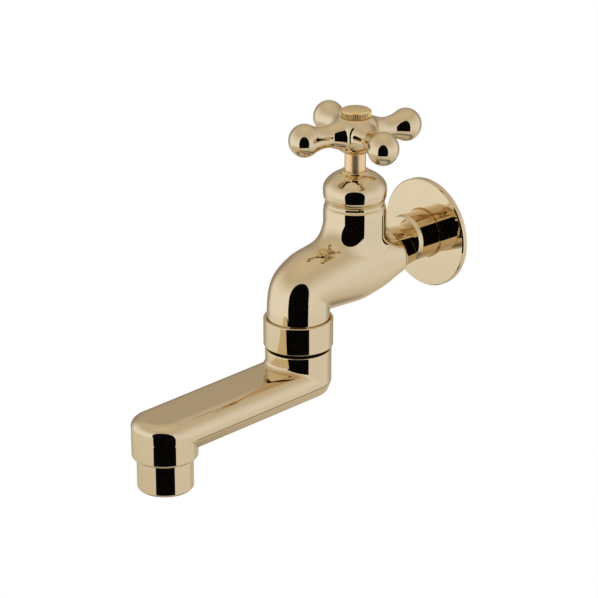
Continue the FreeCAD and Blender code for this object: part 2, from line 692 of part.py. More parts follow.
def arm_bar():
    """The straight bar that narrows from the riser to the tip, with round ends and soft edges."""
    taper = math.asin((RISER_RADIUS - ARM_TIP_RADIUS) / ARM_LENGTH)

    def side(place, radius, sign):
        return vec(sign * radius * math.cos(taper), place[1] - radius * math.sin(taper), ARM_BOTTOM)

    corners = [side(SWIVEL, RISER_RADIUS, -1), side(OUTLET, ARM_TIP_RADIUS, -1),
               side(OUTLET, ARM_TIP_RADIUS, 1), side(SWIVEL, RISER_RADIUS, 1)]
    wire = Part.Wire([
        Part.makeLine(corners[0], corners[1]),
        Part.Arc(corners[1], vec(0, OUTLET[1] - ARM_TIP_RADIUS, ARM_BOTTOM), corners[2]).toShape(),
        Part.makeLine(corners[2], corners[3]),
        Part.Arc(corners[3], vec(0, SWIVEL[1] + RISER_RADIUS, ARM_BOTTOM), corners[0]).toShape(),
    ])
    solid = Part.Face(wire).extrude(vec(0, 0, ARM_DEPTH))

    def at_height(height):
        def chosen(edge):
            box = edge.BoundBox
            return abs(box.ZMin - height) < 0.01 and abs(box.ZMax - height) < 0.01
        return chosen

    solid = soften(solid, ARM_TOP_ROUNDING, at_height(ARM_TOP))
    return soften(solid, ARM_BOTTOM_ROUNDING, at_height(ARM_BOTTOM))


def spout_neck():
    """What stands up from the riser into the swivel joint: a head, a groove for the ring, and a tube."""
    return turned(SWIVEL, (0, RISER_TOP - 1), [
        (SPOUT_NECK_RADIUS, RISER_TOP - 1),
        (SPOUT_NECK_RADIUS, COLLAR_LIP_TOP - TOUCH_GAP),
        (SPOUT_GROOVE_RADIUS, COLLAR_LIP_TOP - TOUCH_GAP),
        (SPOUT_GROOVE_RADIUS, RING_TOP + TOUCH_GAP),
        (SPOUT_NECK_RADIUS, RING_TOP + TOUCH_GAP),
        (SPOUT_NECK_RADIUS, NECK_HEAD_TOP),
        (SPOUT_TUBE_RADIUS, NECK_HEAD_TOP),
        (SPOUT_TUBE_RADIUS, SPOUT_TUBE_TOP),
        (0, SPOUT_TUBE_TOP),
    ])


def spout_arm():
    riser = post(SWIVEL, RISER_RADIUS, ARM_TOP - ARM_DEPTH / 2, RISER_TOP)
    riser = soften(riser, RISER_EDGE_ROUNDING, level_edge(RISER_TOP, SWIVEL, RISER_RADIUS))
    drop = post(OUTLET, ARM_TIP_RADIUS, OUTLET_FACE, ARM_TOP - ARM_TOP_ROUNDING)
    drop = soften(drop, OUTLET_EDGE_ROUNDING, level_edge(OUTLET_FACE, OUTLET, ARM_TIP_RADIUS))
    solid = arm_bar().multiFuse([riser, spout_neck(), drop])
    channel_height = ARM_BOTTOM + ARM_DEPTH / 2
    hollow = post(SWIVEL, SPOUT_BORE_RADIUS, channel_height - ARM_CHANNEL_RADIUS, SPOUT_TUBE_TOP + 1)
    hollow = hollow.multiFuse([
        bore((0, SWIVEL[1], channel_height), (0, OUTLET[1], channel_height), ARM_CHANNEL_RADIUS),
        post(OUTLET, NOZZLE_BORE_RADIUS, OUTLET_FACE - 1, channel_height + ARM_CHANNEL_RADIUS),
        post(OUTLET, NOZZLE_THREAD_RADIUS + THREAD_FIT, OUTLET_FACE - 1, SOCKET_TOP),
    ])
    return swung(solid.cut(hollow))


# Outlet

def outlet_gasket():
    return swung(ring(OUTLET, NOZZLE_BORE_RADIUS, NOZZLE_THREAD_RADIUS, SOCKET_TOP - OUTLET_GASKET_THICKNESS,
                      SOCKET_TOP))


def outlet_nozzle():
    ring_groove = NOZZLE_MOUTH_RADIUS + OUTLET_RING_WIDTH / 2
    ring_bottom = STRAIGHTENER_BOTTOM - OUTLET_RING_THICKNESS - TOUCH_GAP
    solid = turned(OUTLET, (NOZZLE_BORE_RADIUS, OUTLET_FACE + NOZZLE_THREAD_LENGTH), [
        (NOZZLE_THREAD_RADIUS, OUTLET_FACE + NOZZLE_THREAD_LENGTH),
        (NOZZLE_THREAD_RADIUS, OUTLET_FACE),
        (NOZZLE_RADIUS, OUTLET_FACE),
        (NOZZLE_RADIUS, NOZZLE_BOTTOM),
        (NOZZLE_MOUTH_RADIUS, NOZZLE_BOTTOM),
        (NOZZLE_MOUTH_RADIUS, ring_bottom),
        (ring_groove, ring_bottom),
        (ring_groove, STRAIGHTENER_BOTTOM),
        (NOZZLE_MOUTH_RADIUS, STRAIGHTENER_BOTTOM),
        (NOZZLE_MOUTH_RADIUS, MOUTH_SHOULDER),
        (NOZZLE_BORE_RADIUS, MOUTH_SHOULDER),
    ])
    return swung(soften(solid, NOZZLE_EDGE_ROUNDING, level_edge(NOZZLE_BOTTOM, OUTLET, NOZZLE_RADIUS)))


def pierced_disc(radius, bottom, top, hole_radius, pitch):
    """A disc with round holes in rows that nest like a honeycomb."""
    disc = post(OUTLET, radius, bottom, top)
    rows = int(radius / pitch) + 1
    holes = []
    for row in range(-rows, rows + 1):
        for column in range(-rows, rows + 1):
            x = pitch * (column + (row % 2) / 2)
            y = pitch * row * math.sqrt(3) / 2
            if math.hypot(x, y) < radius - hole_radius - PIERCED_MARGIN:
                holes.append(post((OUTLET[0] + x, OUTLET[1] + y), hole_radius, bottom - 1, top + 1))
    return swung(disc.cut(Part.makeCompound(holes)))


def outlet_screen():
    return pierced_disc(NOZZLE_MOUTH_RADIUS - THREAD_FIT, SCREEN_BOTTOM, MOUTH_SHOULDER,
                        SCREEN_HOLE_RADIUS, SCREEN_HOLE_PITCH)


def flow_straightener():
    return pierced_disc(NOZZLE_MOUTH_RADIUS - THREAD_FIT, STRAIGHTENER_BOTTOM, SCREEN_BOTTOM,
                        STRAIGHTENER_HOLE_RADIUS, STRAIGHTENER_HOLE_PITCH)


def outlet_ring():
    outer = NOZZLE_MOUTH_RADIUS + OUTLET_RING_WIDTH / 2 - THREAD_FIT
    return swung(ring(OUTLET, outer - 2 * OUTLET_RING_WIDTH, outer, STRAIGHTENER_BOTTOM - OUTLET_RING_THICKNESS,
                      STRAIGHTENER_BOTTOM))


NODES = {
    "tap_body": tap_body,
    "wall_flange": wall_flange,
    "flange_gasket": flange_gasket,
    "valve_jumper": valve_jumper,
    "valve_washer": valve_washer,
    "valve_nut": valve_nut,
    "spindle": spindle,
    "packing_washer": packing_washer,
    "gland_packing": gland_packing,
    "bonnet_gasket": bonnet_gasket,
    "bonnet_nut": bonnet_nut,
    "cross_handle": cross_handle,
    "spring_washer": spring_washer,
    "handle_screw": handle_screw,
    "handle_cap": handle_cap,
    "swivel_nut": swivel_nut,
    "swivel_packing": swivel_packing,
    "swivel_washer": swivel_washer,
    "retaining_ring": retaining_ring,
    "spout_arm": spout_arm,
    "outlet_gasket": outlet_gasket,
    "outlet_nozzle": outlet_nozzle,
    "outlet_screen": outlet_screen,
    "flow_straightener": flow_straightener,
    "outlet_ring": outlet_ring,
}

os.makedirs("parts", exist_ok=True)
for name, make in NODES.items():
    shape = make()
    shape.exportStep("parts/" + name + ".step")
    box = shape.BoundBox
    state = "valid" if shape.isValid() else "INVALID"
    print(name, state, len(shape.Solids), "solid", round(shape.Volume, 1), "mm3")
    print("  x", round(box.XMin, 1), round(box.XMax, 1), "y", round(box.YMin, 1), round(box.YMax, 1),
          "z", round(box.ZMin, 1), round(box.ZMax, 1))
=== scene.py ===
# %% [markdown]
# # A polished garden tap
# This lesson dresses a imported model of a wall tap: a cast body on a round flange, a domed bonnet, a cross
# handle and a swinging spout. The pieces keep the places that the construction gave them. What is added
# here is the true roundness of the castings, the knurl and the thread, the polished brass, and a
# photographer's light.

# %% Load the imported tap
import math
import bpy
import numpy as np
from mathutils import Matrix


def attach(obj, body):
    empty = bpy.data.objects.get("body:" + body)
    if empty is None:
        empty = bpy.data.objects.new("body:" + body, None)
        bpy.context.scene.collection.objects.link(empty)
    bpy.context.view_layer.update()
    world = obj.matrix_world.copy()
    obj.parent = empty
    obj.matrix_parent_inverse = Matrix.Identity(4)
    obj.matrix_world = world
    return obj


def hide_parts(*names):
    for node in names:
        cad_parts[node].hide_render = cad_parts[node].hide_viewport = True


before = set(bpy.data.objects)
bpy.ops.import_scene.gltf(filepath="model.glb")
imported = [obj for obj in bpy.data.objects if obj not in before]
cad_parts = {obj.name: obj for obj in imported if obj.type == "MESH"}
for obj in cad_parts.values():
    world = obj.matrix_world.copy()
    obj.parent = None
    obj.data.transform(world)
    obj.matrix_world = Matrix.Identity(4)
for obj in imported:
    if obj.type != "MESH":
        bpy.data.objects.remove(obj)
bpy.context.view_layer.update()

MM = 0.001

# %% [markdown]
# ## Sizes
# The castings are rebuilt rounder than the construction has them, so the sizes that both share are written
# here in millimetres: the wall is the plane y = 0, the tap stands out along -Y, and the origin is the
# inlet's axis.

# %% Sizes shared with the construction
SPINDLE_Y = -44.6
SWIVEL_Y = -77.3
BOSS_END_Y = -24.6
SHANK_END_Y = -13.3
SHANK_RADIUS = 10.6
INLET_NECK_RADIUS = 8.5
INLET_NECK_DROP = 2.7
FLANGE_RADIUS = 24.4
FLANGE_THICKNESS = 2.7
NECK_RADIUS = 13.65
HUB_Z = 55.7
HANDLE_TURN = math.radians(75)
COLLAR_RADIUS = 15.0
COLLAR_TOP = -19.7
COLLAR_BOTTOM = -32.0
RISER_TOP = -33.6
RISER_RADIUS = 14.3
ARM_LENGTH = 79.2
ARM_TOP = -40.2
ARM_BOTTOM = -53.7
ARM_TIP_RADIUS = 13.9
OUTLET_FACE = -57.9
NOZZLE_RADIUS = 11.85
NOZZLE_BOTTOM = -72.2
SPOUT_TURN = math.radians(4.06)
OUTLET = (ARM_LENGTH * math.sin(SPOUT_TURN), SWIVEL_Y - ARM_LENGTH * math.cos(SPOUT_TURN))
print("outlet at x %.2f, y %.2f mm" % OUTLET)

# %% [markdown]
# ## Meshes with true normals
# Polished metal shows every facet. A mesh that carries the exact direction of its surface at every corner
# reflects like the smooth form it stands for, so each helper here hands Blender its normals instead of
# letting it guess.

# %% Make a piece from points, faces and corner normals
def new_object(name, points, faces):
    """A mesh object at the origin, from points in millimetres."""
    mesh = bpy.data.meshes.new(name)
    mesh.from_pydata((np.asarray(points) * MM).tolist(), [], [list(map(int, face)) for face in faces])
    made = bpy.data.objects.new(name, mesh)
    bpy.context.scene.collection.objects.link(made)
    return made


def make_piece(name, points, faces, normals):
    """A smooth piece with one normal per face corner."""
    piece = new_object(name, points, faces)
    piece.data.shade_smooth()
    piece.data.normals_split_custom_set(np.asarray(normals).tolist())
    print(name, len(points), "points", len(faces), "faces")
    return piece

# %% [markdown]
# ## Turned pieces
# The bonnet, the nuts, the nozzle and the flange come off a lathe. Their outline is drawn once, as corners
# with a rounding, and is turned about an axis. Blender's Screw modifier could turn it too, but turning it
# here keeps the roundings' normals exact.

# %% Draw an outline
ARC_STEP = math.radians(6)


def unit(x, y):
    size = math.hypot(x, y)
    return np.array([x / size, y / size])


def right_of(direction):
    """The outward side of an outline that runs upwards on its outer wall."""
    return np.array([direction[1], -direction[0]])


def chained(spots):
    """Strokes from each spot to the next; a spot is a place and the way out there."""
    return [spots[index] + spots[index + 1] for index in range(len(spots) - 1)]


def arc_strokes(centre, radius, start, sweep, side):
    """Short strokes along an arc, each with the true normal at both ends."""
    count = max(2, math.ceil(abs(sweep) / ARC_STEP))
    angles = start + sweep * np.arange(count + 1) / count
    ways = np.stack([np.cos(angles), np.sin(angles)], 1)
    return chained([(centre + radius * way, side * way) for way in ways])


def outline(corners, closed=True):
    """Strokes round the corners, each a radius, a height and a rounding."""
    count = len(corners)
    spots = [np.array(corner[:2], float) for corner in corners]
    runs = [(spots[index], spots[(index + 1) % count]) for index in range(count if closed else count - 1)]
    cut_start, cut_end = [0.0] * len(runs), [0.0] * len(runs)
    rounded = {}
    for index, corner in enumerate(corners):
        before, after = (index - 1) % count, index
        if corner[2] == 0 or after >= len(runs) or before >= len(runs):
            continue
        way_in = unit(*(runs[before][1] - runs[before][0]))
        way_out = unit(*(runs[after][1] - runs[after][0]))
        turn = math.atan2(way_in[0] * way_out[1] - way_in[1] * way_out[0], way_in @ way_out)
        cut = corner[2] * abs(math.tan(turn / 2))
        cut_end[before] = cut
        cut_start[after] = cut
        side = 1 if turn > 0 else -1
        centre = spots[index] - way_in * cut - side * right_of(way_in) * corner[2]
        start = side * right_of(way_in)
        rounded[before] = arc_strokes(centre, corner[2], math.atan2(start[1], start[0]), turn, side)
    strokes = []
    for index, (start, end) in enumerate(runs):
        way = unit(*(end - start))
        first, last = start + way * cut_start[index], end - way * cut_end[index]
        if np.hypot(*(last - first)) > 1e-6:
            strokes.append((first, right_of(way), last, right_of(way)))
        strokes.extend(rounded.get(index, []))
    return strokes


SAMPLE = outline([(1, 0, 0), (2, 0, 0.5), (2, 1, 0)], closed=False)
print("a rounded corner takes", len(SAMPLE) - 2, "strokes")

# %% [markdown]
# ## Curves in an outline
# A dome isn't made of straight runs and roundings. Its outline goes through a few points instead, on the
# smoothest curve that passes them all, which is what a bent strip of wood would do. A short lip is an arc
# through three points.

# %% Draw a curve
def curve_through(spots, steps=12):
    """Strokes along the smoothest curve through these points, with true normals all along."""
    spots = np.array(spots, float)
    count = len(spots)
    gaps = np.hypot(*np.diff(spots, axis=0).T)
    ways = np.diff(spots, axis=0) / gaps[:, None]
    system, bends = np.eye(count), np.zeros((count, 2))
    for index in range(1, count - 1):
        system[index, index - 1:index + 2] = gaps[index - 1], 2 * (gaps[index - 1] + gaps[index]), gaps[index]
        bends[index] = 6 * (ways[index] - ways[index - 1])
    bends = np.linalg.solve(system, bends)
    curve = []
    for index in range(count - 1):
        gap, start, end = gaps[index], bends[index], bends[index + 1]
        for step in range(steps + (index == count - 2)):
            share = step / steps
            rest = 1 - share
            place = (rest * spots[index] + share * spots[index + 1]
                     + gap ** 2 / 6 * ((rest ** 3 - rest) * start + (share ** 3 - share) * end))
            slope = ways[index] + gap / 6 * ((3 * share ** 2 - 1) * end - (3 * rest ** 2 - 1) * start)
            curve.append((place, right_of(unit(*slope))))
    return chained(curve)


def arc_through(start, middle, end):
    """Strokes along the arc through three points, bulging outward."""
    start, middle, end = (np.array(spot, float) for spot in (start, middle, end))
    lhs = 2 * np.array([middle - start, end - start])
    rhs = np.array([middle @ middle - start @ start, end @ end - start @ start])
    centre = np.linalg.solve(lhs, rhs)
    first = math.atan2(*(start - centre)[::-1])
    sweep = (math.atan2(*(end - centre)[::-1]) - first + math.pi) % (2 * math.pi) - math.pi
    return arc_strokes(centre, math.hypot(*(start - centre)), first, sweep, 1 if sweep > 0 else -1)

# %% [markdown]
# ## The lathe
# Turning an outline gives one ring of points for each of its corners and one band of faces for each of its
# strokes. Where the outline meets the axis, the ring shrinks to a single point and the faces to triangles,
# so the piece is closed. A piece that lies along the inlet is turned upright and then tipped over.

# %% Turn an outline about an axis
ROUND_STEPS = 160


def lathe(strokes, place=(0, 0), steps=ROUND_STEPS):
    """Points, faces and corner normals of the strokes turned about an upright axis."""
    turns = 2 * math.pi * np.arange(steps) / steps
    cosines, sines = np.cos(turns), np.sin(turns)
    points, faces, normals = [], [], []
    rings = {}

    def ring(spot):
        key = (round(float(spot[0]), 5), round(float(spot[1]), 5))
        if key not in rings:
            rings[key] = len(points)
            for index in range(1 if key[0] == 0 else steps):
                points.append((spot[0] * cosines[index], spot[0] * sines[index], spot[1]))
        return rings[key], key[0] == 0

    def facing(normal, index):
        return normal[0] * cosines[index], normal[0] * sines[index], normal[1]

    for first, first_normal, last, last_normal in strokes:
        (low, low_pole), (high, high_pole) = ring(first), ring(last)
        for index in range(0 if low_pole and high_pole else steps):
            after = (index + 1) % steps
            below = [(low, index)] if low_pole else [(low + index, index), (low + after, after)]
            above = [(high, index)] if high_pole else [(high + after, after), (high + index, index)]
            faces.append(tuple(corner for corner, _ in below + above))
            normals += [facing(first_normal, turn) for _, turn in below]
            normals += [facing(last_normal, turn) for _, turn in above]
    return np.array(points) + [place[0], place[1], 0], faces, np.array(normals)


def tipped(part):
    """An upright part laid along the inlet."""
    points, faces, normals = part
    return points[:, [0, 2, 1]] * [-1, 1, 1], faces, normals[:, [0, 2, 1]] * [-1, 1, 1]


def join_parts(parts):
    """Several (points, faces, normals) as one."""
    points, faces, normals = [], [], []
    start = 0
    for part_points, part_faces, part_normals in parts:
        points.append(part_points)
        faces += [tuple(start + index for index in face) for face in part_faces]
        normals.append(part_normals)
        start += len(part_points)
    return np.concatenate(points), faces, np.concatenate(normals)

# %% [markdown]
# ## Cast pieces
# The body, the handle and the spout are castings whose forms run into each other. Such a form is easy to
# say as a distance field: a function that gives, for any point in space, how far it is from the skin and
# which way is out. The simplest ones are a flat side and an endless rod.

# %% Simple fields
X, Y, Z = range(3)
TINY = 1e-9


def length_of(rows):
    return np.sqrt((rows ** 2).sum(1))


def unit_rows(rows):
    return rows / np.maximum(length_of(rows), TINY)[:, None]


def flat_field(spots, axis, place, side):
    """All that is below a place on one axis, or above it if the side is -1."""
    outward = np.zeros(3)
    outward[axis] = side
    return side * (spots[:, axis] - place), np.tile(outward, (len(spots), 1))


def rod_field(spots, place, radius, axis):
    """An endless rod along one of the axes."""
    offset = spots - np.array(place)
    offset[:, axis] = 0
    distance = np.maximum(length_of(offset), TINY)
    return distance - radius, offset / distance[:, None]

# %% [markdown]
# ## How fields meet
# A casting has no sharp inner corner. So two fields are joined with a hollow fillet, or one is cut by the
# other with a rounded edge, and the way out turns evenly over the rounding. Blender's Bevel modifier rounds
# edges too, but it can't follow forms that run into each other.

# %% Cut and join fields
def cut_round(one, other, radius):
    """What two fields share, with their common edge rounded."""
    (a, way_a), (b, way_b) = one, other
    over_a, over_b = np.maximum(a + radius, 0), np.maximum(b + radius, 0)
    corner = np.hypot(over_a, over_b)
    distance = np.minimum(np.maximum(a, b), -radius) + corner
    share = np.where(corner > 0, over_a / np.maximum(corner, TINY), a > b)
    other_share = np.where(corner > 0, over_b / np.maximum(corner, TINY), a <= b)
    return distance, share[:, None] * way_a + other_share[:, None] * way_b


def cut_flat(field, spots, axis, place, side, rounding):
    return cut_round(field, flat_field(spots, axis, place, side), rounding)


def post_field(spots, y, radius, bottom, top):
    """An upright rod between two heights, each given with the rounding of its edge."""
    rod = rod_field(spots, (0, y, 0), radius, Z)
    return cut_flat(cut_flat(rod, spots, Z, top[0], 1, top[1]), spots, Z, bottom[0], -1, bottom[1])


def join_round(one, other, radius):
    """Two fields together, with a hollow fillet where they meet at an angle and none where they touch."""
    (a, way_a), (b, way_b) = one, other
    half_turn = np.sqrt(np.clip((1 + (way_a * way_b).sum(1)) / 2, 0, 1))
    reach = np.maximum(radius * (1 - half_turn) / (1 - math.sqrt(0.5)), 1e-6)
    short_a, short_b = np.maximum(reach - a, 0), np.maximum(reach - b, 0)
    corner = np.hypot(short_a, short_b)
    distance = np.maximum(np.minimum(a, b), reach) - corner
    share_a = np.where(corner > 0, short_a / np.maximum(corner, TINY), a < b)
    share_b = np.where(corner > 0, short_b / np.maximum(corner, TINY), a >= b)
    return distance, share_a[:, None] * way_a + share_b[:, None] * way_b


def smooth(share):
    """A share kept between 0 and 1, with a soft start and end."""
    share = np.clip(share, 0, 1)
    return share * share * (3 - 2 * share)


print("a soft step runs", [round(float(smooth(share)), 2) for share in (0, 0.25, 0.5, 0.75, 1)])

# %% [markdown]
# ## From a field to a skin
# Blender can mesh a field with its Volume to Mesh node, but that gives away the exact normals. Here a grid
# is laid over the field and each cell that the skin crosses gets one point. Four such cells round an edge
# of the grid make a face.

# %% Lay a grid over a field
def field_values(field, low, shape, cell):
    """The field at each point of a grid, worked out slab by slab."""
    axes = [low[axis] + cell * np.arange(shape[axis]) for axis in range(3)]
    side_y, side_z = np.meshgrid(axes[Y], axes[Z], indexing="ij")
    values = np.empty(shape)
    for index, x in enumerate(axes[X]):
        slab = np.stack([np.full(side_y.shape, x), side_y, side_z], -1).reshape(-1, 3)
        values[index] = field(slab)[0].reshape(side_y.shape)
    return values


def crossed_cells(values):
    """Which cells the skin crosses, and in each the middle of where it crosses the edges."""
    ends = np.array(values.shape) - 1
    corners = [(i, j, k) for i in (0, 1) for j in (0, 1) for k in (0, 1)]
    at_corner = [values[i:i + ends[X], j:j + ends[Y], k:k + ends[Z]] for i, j, k in corners]
    filled = sum((value < 0).astype(int) for value in at_corner)
    mixed = (filled > 0) & (filled < 8)
    cells = np.argwhere(mixed)
    sums, crossings = np.zeros((len(cells), 3)), np.zeros(len(cells))
    for first in range(8):
        for second in range(first + 1, 8):
            if sum(abs(p - q) for p, q in zip(corners[first], corners[second])) != 1:
                continue
            start, end = at_corner[first][mixed], at_corner[second][mixed]
            crossed = (start < 0) != (end < 0)
            share = np.where(crossed, start / np.where(crossed, start - end, 1), 0)[:, None]
            spot = np.array(corners[first]) * (1 - share) + np.array(corners[second]) * share
            sums += np.where(crossed[:, None], spot, 0)
            crossings += crossed
    return mixed, cells + sums / crossings[:, None]


def faces_across(values, number):
    """A face round each edge of the grid that the skin crosses, joining the points of four cells."""
    faces, shape = [], values.shape
    for axis in range(3):
        across, over = (axis + 1) % 3, (axis + 2) % 3
        step_across, step_over = np.eye(3, dtype=int)[across], np.eye(3, dtype=int)[over]
        near = np.take(values, range(shape[axis] - 1), axis) < 0
        far = np.take(values, range(1, shape[axis]), axis) < 0
        spots = np.argwhere(near != far)
        inner = (spots[:, across] > 0) & (spots[:, over] > 0)
        inner &= (spots[:, across] < shape[across] - 1) & (spots[:, over] < shape[over] - 1)
        spots = spots[inner]
        ring = [spots - step_across - step_over, spots - step_over, spots, spots - step_across]
        quads = np.stack([number[tuple(place.T)] for place in ring], 1)
        facing = near[tuple(spots.T)]
        faces.append(np.where(facing[:, None], quads, quads[:, ::-1]))
    return np.concatenate(faces)

# %% [markdown]
# ## An even skin
# The first points lie roughly. Each is moved to the middle of the faces round it and then slid back onto
# the skin, a few times over, which makes the faces even. The field's slope at each point is its normal.

# %% Find the skin of a field
EVENING_ROUNDS = 4
SLIDES = 2


def slope_of(field, spots, step=0.02):
    """The direction in which the field grows fastest."""
    columns = []
    for axis in range(3):
        move = np.zeros(3)
        move[axis] = step
        columns.append((field(spots + move)[0] - field(spots - move)[0]) / (2 * step))
    return np.stack(columns, 1)


def relaxed(points, faces):
    """The points, each moved to the middle of the faces round it, so that the faces come out even."""
    middles = points[faces].mean(1)
    sums, counts = np.zeros_like(points), np.zeros(len(points))
    for corner in range(4):
        for axis in range(3):
            sums[:, axis] += np.bincount(faces[:, corner], middles[:, axis], len(points))
        counts += np.bincount(faces[:, corner], minlength=len(points))
    return sums / counts[:, None]


def skin(field, low, high, cell):
    """Points, faces and corner normals of the surface where the field is zero."""
    low, high = np.array(low, float), np.array(high, float)
    values = field_values(field, low, np.ceil((high - low) / cell).astype(int) + 1, cell)
    mixed, middles = crossed_cells(values)
    number = np.full(mixed.shape, -1)
    number[mixed] = np.arange(len(middles))
    points, faces = low + cell * middles, faces_across(values, number)
    for _ in range(EVENING_ROUNDS):
        points = relaxed(points, faces)
        for _ in range(SLIDES):
            slope = slope_of(field, points)
            steep = np.maximum((slope ** 2).sum(1), 0.1)
            points = points - (field(points)[0] / steep)[:, None] * slope
    normals = unit_rows(slope_of(field, points))
    return points, [tuple(face) for face in faces.tolist()], normals[faces.reshape(-1)]

# %% [markdown]
# ## Finishes
# A finish is a small node tree. To keep the maths readable, a socket is wrapped in a class that understands
# + - and *, so that clouds * 0.5 adds the Math node by itself. Any other node comes from one helper.

# %% Helpers for node trees
def add_node(tree, kind, sockets, **settings):
    """Adds a node, sets it, links or fills its sockets, and gives back its outputs."""
    made = tree.nodes.new(kind)
    for key, value in settings.items():
        setattr(made, key, value)
    for key, value in sockets.items():
        if isinstance(value, bpy.types.NodeSocket):
            tree.links.new(value, made.inputs[key])
        else:
            made.inputs[key].default_value = value
    return made.outputs


class Wire:
    """The output of a node, which ordinary arithmetic adds Math nodes to."""

    def __init__(self, finish, socket):
        self.finish = finish
        self.socket = socket

    def __add__(self, other):
        return self.finish.math("ADD", self, other)

    def __sub__(self, other):
        return self.finish.math("SUBTRACT", self, other)

    def __mul__(self, other):
        return self.finish.math("MULTIPLY", self, other)


class Finish:
    """A material under construction."""

    def __init__(self, name):
        self.material = bpy.data.materials.new(name)
        self.material.use_nodes = True
        self.tree = self.material.node_tree
        self.tree.nodes.clear()

    def node(self, kind, sockets, output=0, **settings):
        plain = {key: value.socket if isinstance(value, Wire) else value for key, value in sockets.items()}
        return Wire(self, add_node(self.tree, kind, plain, **settings)[output])

    def math(self, operation, first, second):
        return self.node("ShaderNodeMath", {0: first, 1: second}, operation=operation)

    def mix(self, share, first, second):
        return self.node("ShaderNodeMix", {"Factor": share, 6: first, 7: second}, 2, data_type="RGBA")

    def object_coordinates(self):
        return self.node("ShaderNodeTexCoord", {}, "Object")

    def noise(self, scale, detail=2.0, stretch=(1, 1, 1)):
        """Soft clouds whose size is one over the scale, in metres, drawn out along an axis if asked."""
        place = self.node("ShaderNodeMapping", {"Vector": self.object_coordinates(), "Scale": stretch})
        sockets = {"Vector": place, "Scale": scale, "Detail": detail}
        return self.node("ShaderNodeTexNoise", sockets, "Fac")

    def bump(self, height, strength, depth):
        return self.node("ShaderNodeBump", {"Height": height, "Strength": strength, "Distance": depth})

    def surface(self, **sockets):
        """The closing shader, from Principled sockets written with underscores for spaces."""
        named = {key.replace("_", " "): value for key, value in sockets.items()}
        self.close(self.node("ShaderNodeBsdfPrincipled", named))
        return self.material

    def close(self, shader):
        add_node(self.tree, "ShaderNodeOutputMaterial", {"Surface": shader.socket})

# %% [markdown]
# ## Polished brass
# Every outside casting is buffed and lacquered to a mirror, so what the eye sees is the room, tinted pale
# gold. What makes it metal and not glass paint is small: a slight unevenness left by the buffing wheel,
# hair scratches and faint cloudy patches where the shine is a little duller. One casting also gets a
# painted hairline of shade along a sharp edge, mixed into its colour.

# %% Polished brass
BRASS = (0.80, 0.67, 0.46)
BRASS_DEEP = (0.78, 0.63, 0.40)
BRASS_PAINTED_SHADE = (0.20, 0.13, 0.06)
CLOUD_SCALE = 45.0
HAIR_SCALE = 900.0
HAIR_STRETCH = (1.0, 1.0, 0.06)
WHEEL_SCALE = 70.0
MIRROR_ROUGHNESS = 0.01


def polished_brass(name="polished_brass", painted_edge_shade=None):
    """Buffed brass. A painted edge shade is a function that gives the share of painted shade at each place.
    """
    finish = Finish(name)
    clouds = finish.noise(CLOUD_SCALE, 3.0)
    hairs = finish.noise(HAIR_SCALE, 4.0, HAIR_STRETCH)
    waves = finish.noise(WHEEL_SCALE, 0.0)
    color = finish.mix(clouds, (*BRASS_DEEP, 1), (*BRASS, 1))
    duller = clouds * 0.02 + hairs * 0.015
    uneven = finish.bump(waves, 0.03, 0.0004)
    if painted_edge_shade:
        # Mixes the hairline of painted shade that the edge function gives into the colour.
        color = finish.mix(painted_edge_shade(finish), color, (*BRASS_PAINTED_SHADE, 1))
    return finish.surface(Base_Color=color, Metallic=1.0, Roughness=duller + MIRROR_ROUGHNESS, Normal=uneven)


POLISHED_BRASS = polished_brass()
print("polished brass", len(POLISHED_BRASS.node_tree.nodes), "nodes")

# %% [markdown]
# ## The other metals
# The stem is turned and left a deeper, orange gold. The cap's rim is knurled, a deeper gold too, with a
# satin top. The small fittings inside are plain machined brass or steel, with rings that the cutting tool
# left. The faces in the swivel joint's gap get a near-black brass as painted shade.

# %% Stem, cap and inner metals
def turned_metal(name, bright, dull, roughness, groove_scale):
    """Metal with fine rings round an upright axis, as a lathe tool leaves them."""
    finish = Finish(name)
    rings = finish.noise(groove_scale, 2.0, (0.02, 0.02, 1.0))
    clouds = finish.noise(160.0, 3.0)
    color = finish.mix(clouds * 0.6 + rings * 0.4, (*dull, 1), (*bright, 1))
    grooves = finish.bump(rings, 0.06, 0.0001)
    return finish.surface(Base_Color=color, Metallic=1.0, Roughness=clouds * 0.08 + roughness, Normal=grooves)


STEM_BRASS = turned_metal("stem_brass", (1.0, 0.76, 0.46), (0.94, 0.67, 0.37), 0.30, 2500.0)
KNURLED_GOLD = turned_metal("knurled_gold", (1.0, 0.82, 0.45), (0.95, 0.72, 0.34), 0.18, 2500.0)
RAW_BRASS = turned_metal("raw_brass", (0.74, 0.58, 0.30), (0.62, 0.46, 0.22), 0.25, 1800.0)
# Near-black brass that paints the shade in the gap of the swivel joint.
JOINT_PAINTED_SHADE = turned_metal("joint_painted_shade", (0.08, 0.06, 0.04), (0.04, 0.03, 0.02), 0.45, 1800.0)
STEEL = turned_metal("steel", (0.66, 0.66, 0.67), (0.52, 0.52, 0.54), 0.22, 1800.0)
print("turned metals", [metal.name for metal in (STEM_BRASS, KNURLED_GOLD, RAW_BRASS, JOINT_PAINTED_SHADE, STEEL)])

# %% [markdown]
# ## Soft and moulded materials
# Gaskets and washers are matt rubber, the gland packing is waxy white, the bonnet's gasket is red fibre,
# and the flow straightener is grey moulded plastic. They are hardly seen, but each gets its own grain.

# %% Rubber, packing, fibre and plastic
def grained(name, light, dark, roughness, scale, strength):
    finish = Finish(name)
    grain = finish.noise(scale, 4.0)
    clouds = finish.noise(scale / 12, 2.0)
    color = finish.mix(clouds * 0.5 + grain * 0.5, (*dark, 1), (*light, 1))
    rough = finish.bump(grain, strength, 0.0002)
    return finish.surface(Base_Color=color, Metallic=0.0, Roughness=grain * 0.15 + roughness, Normal=rough)


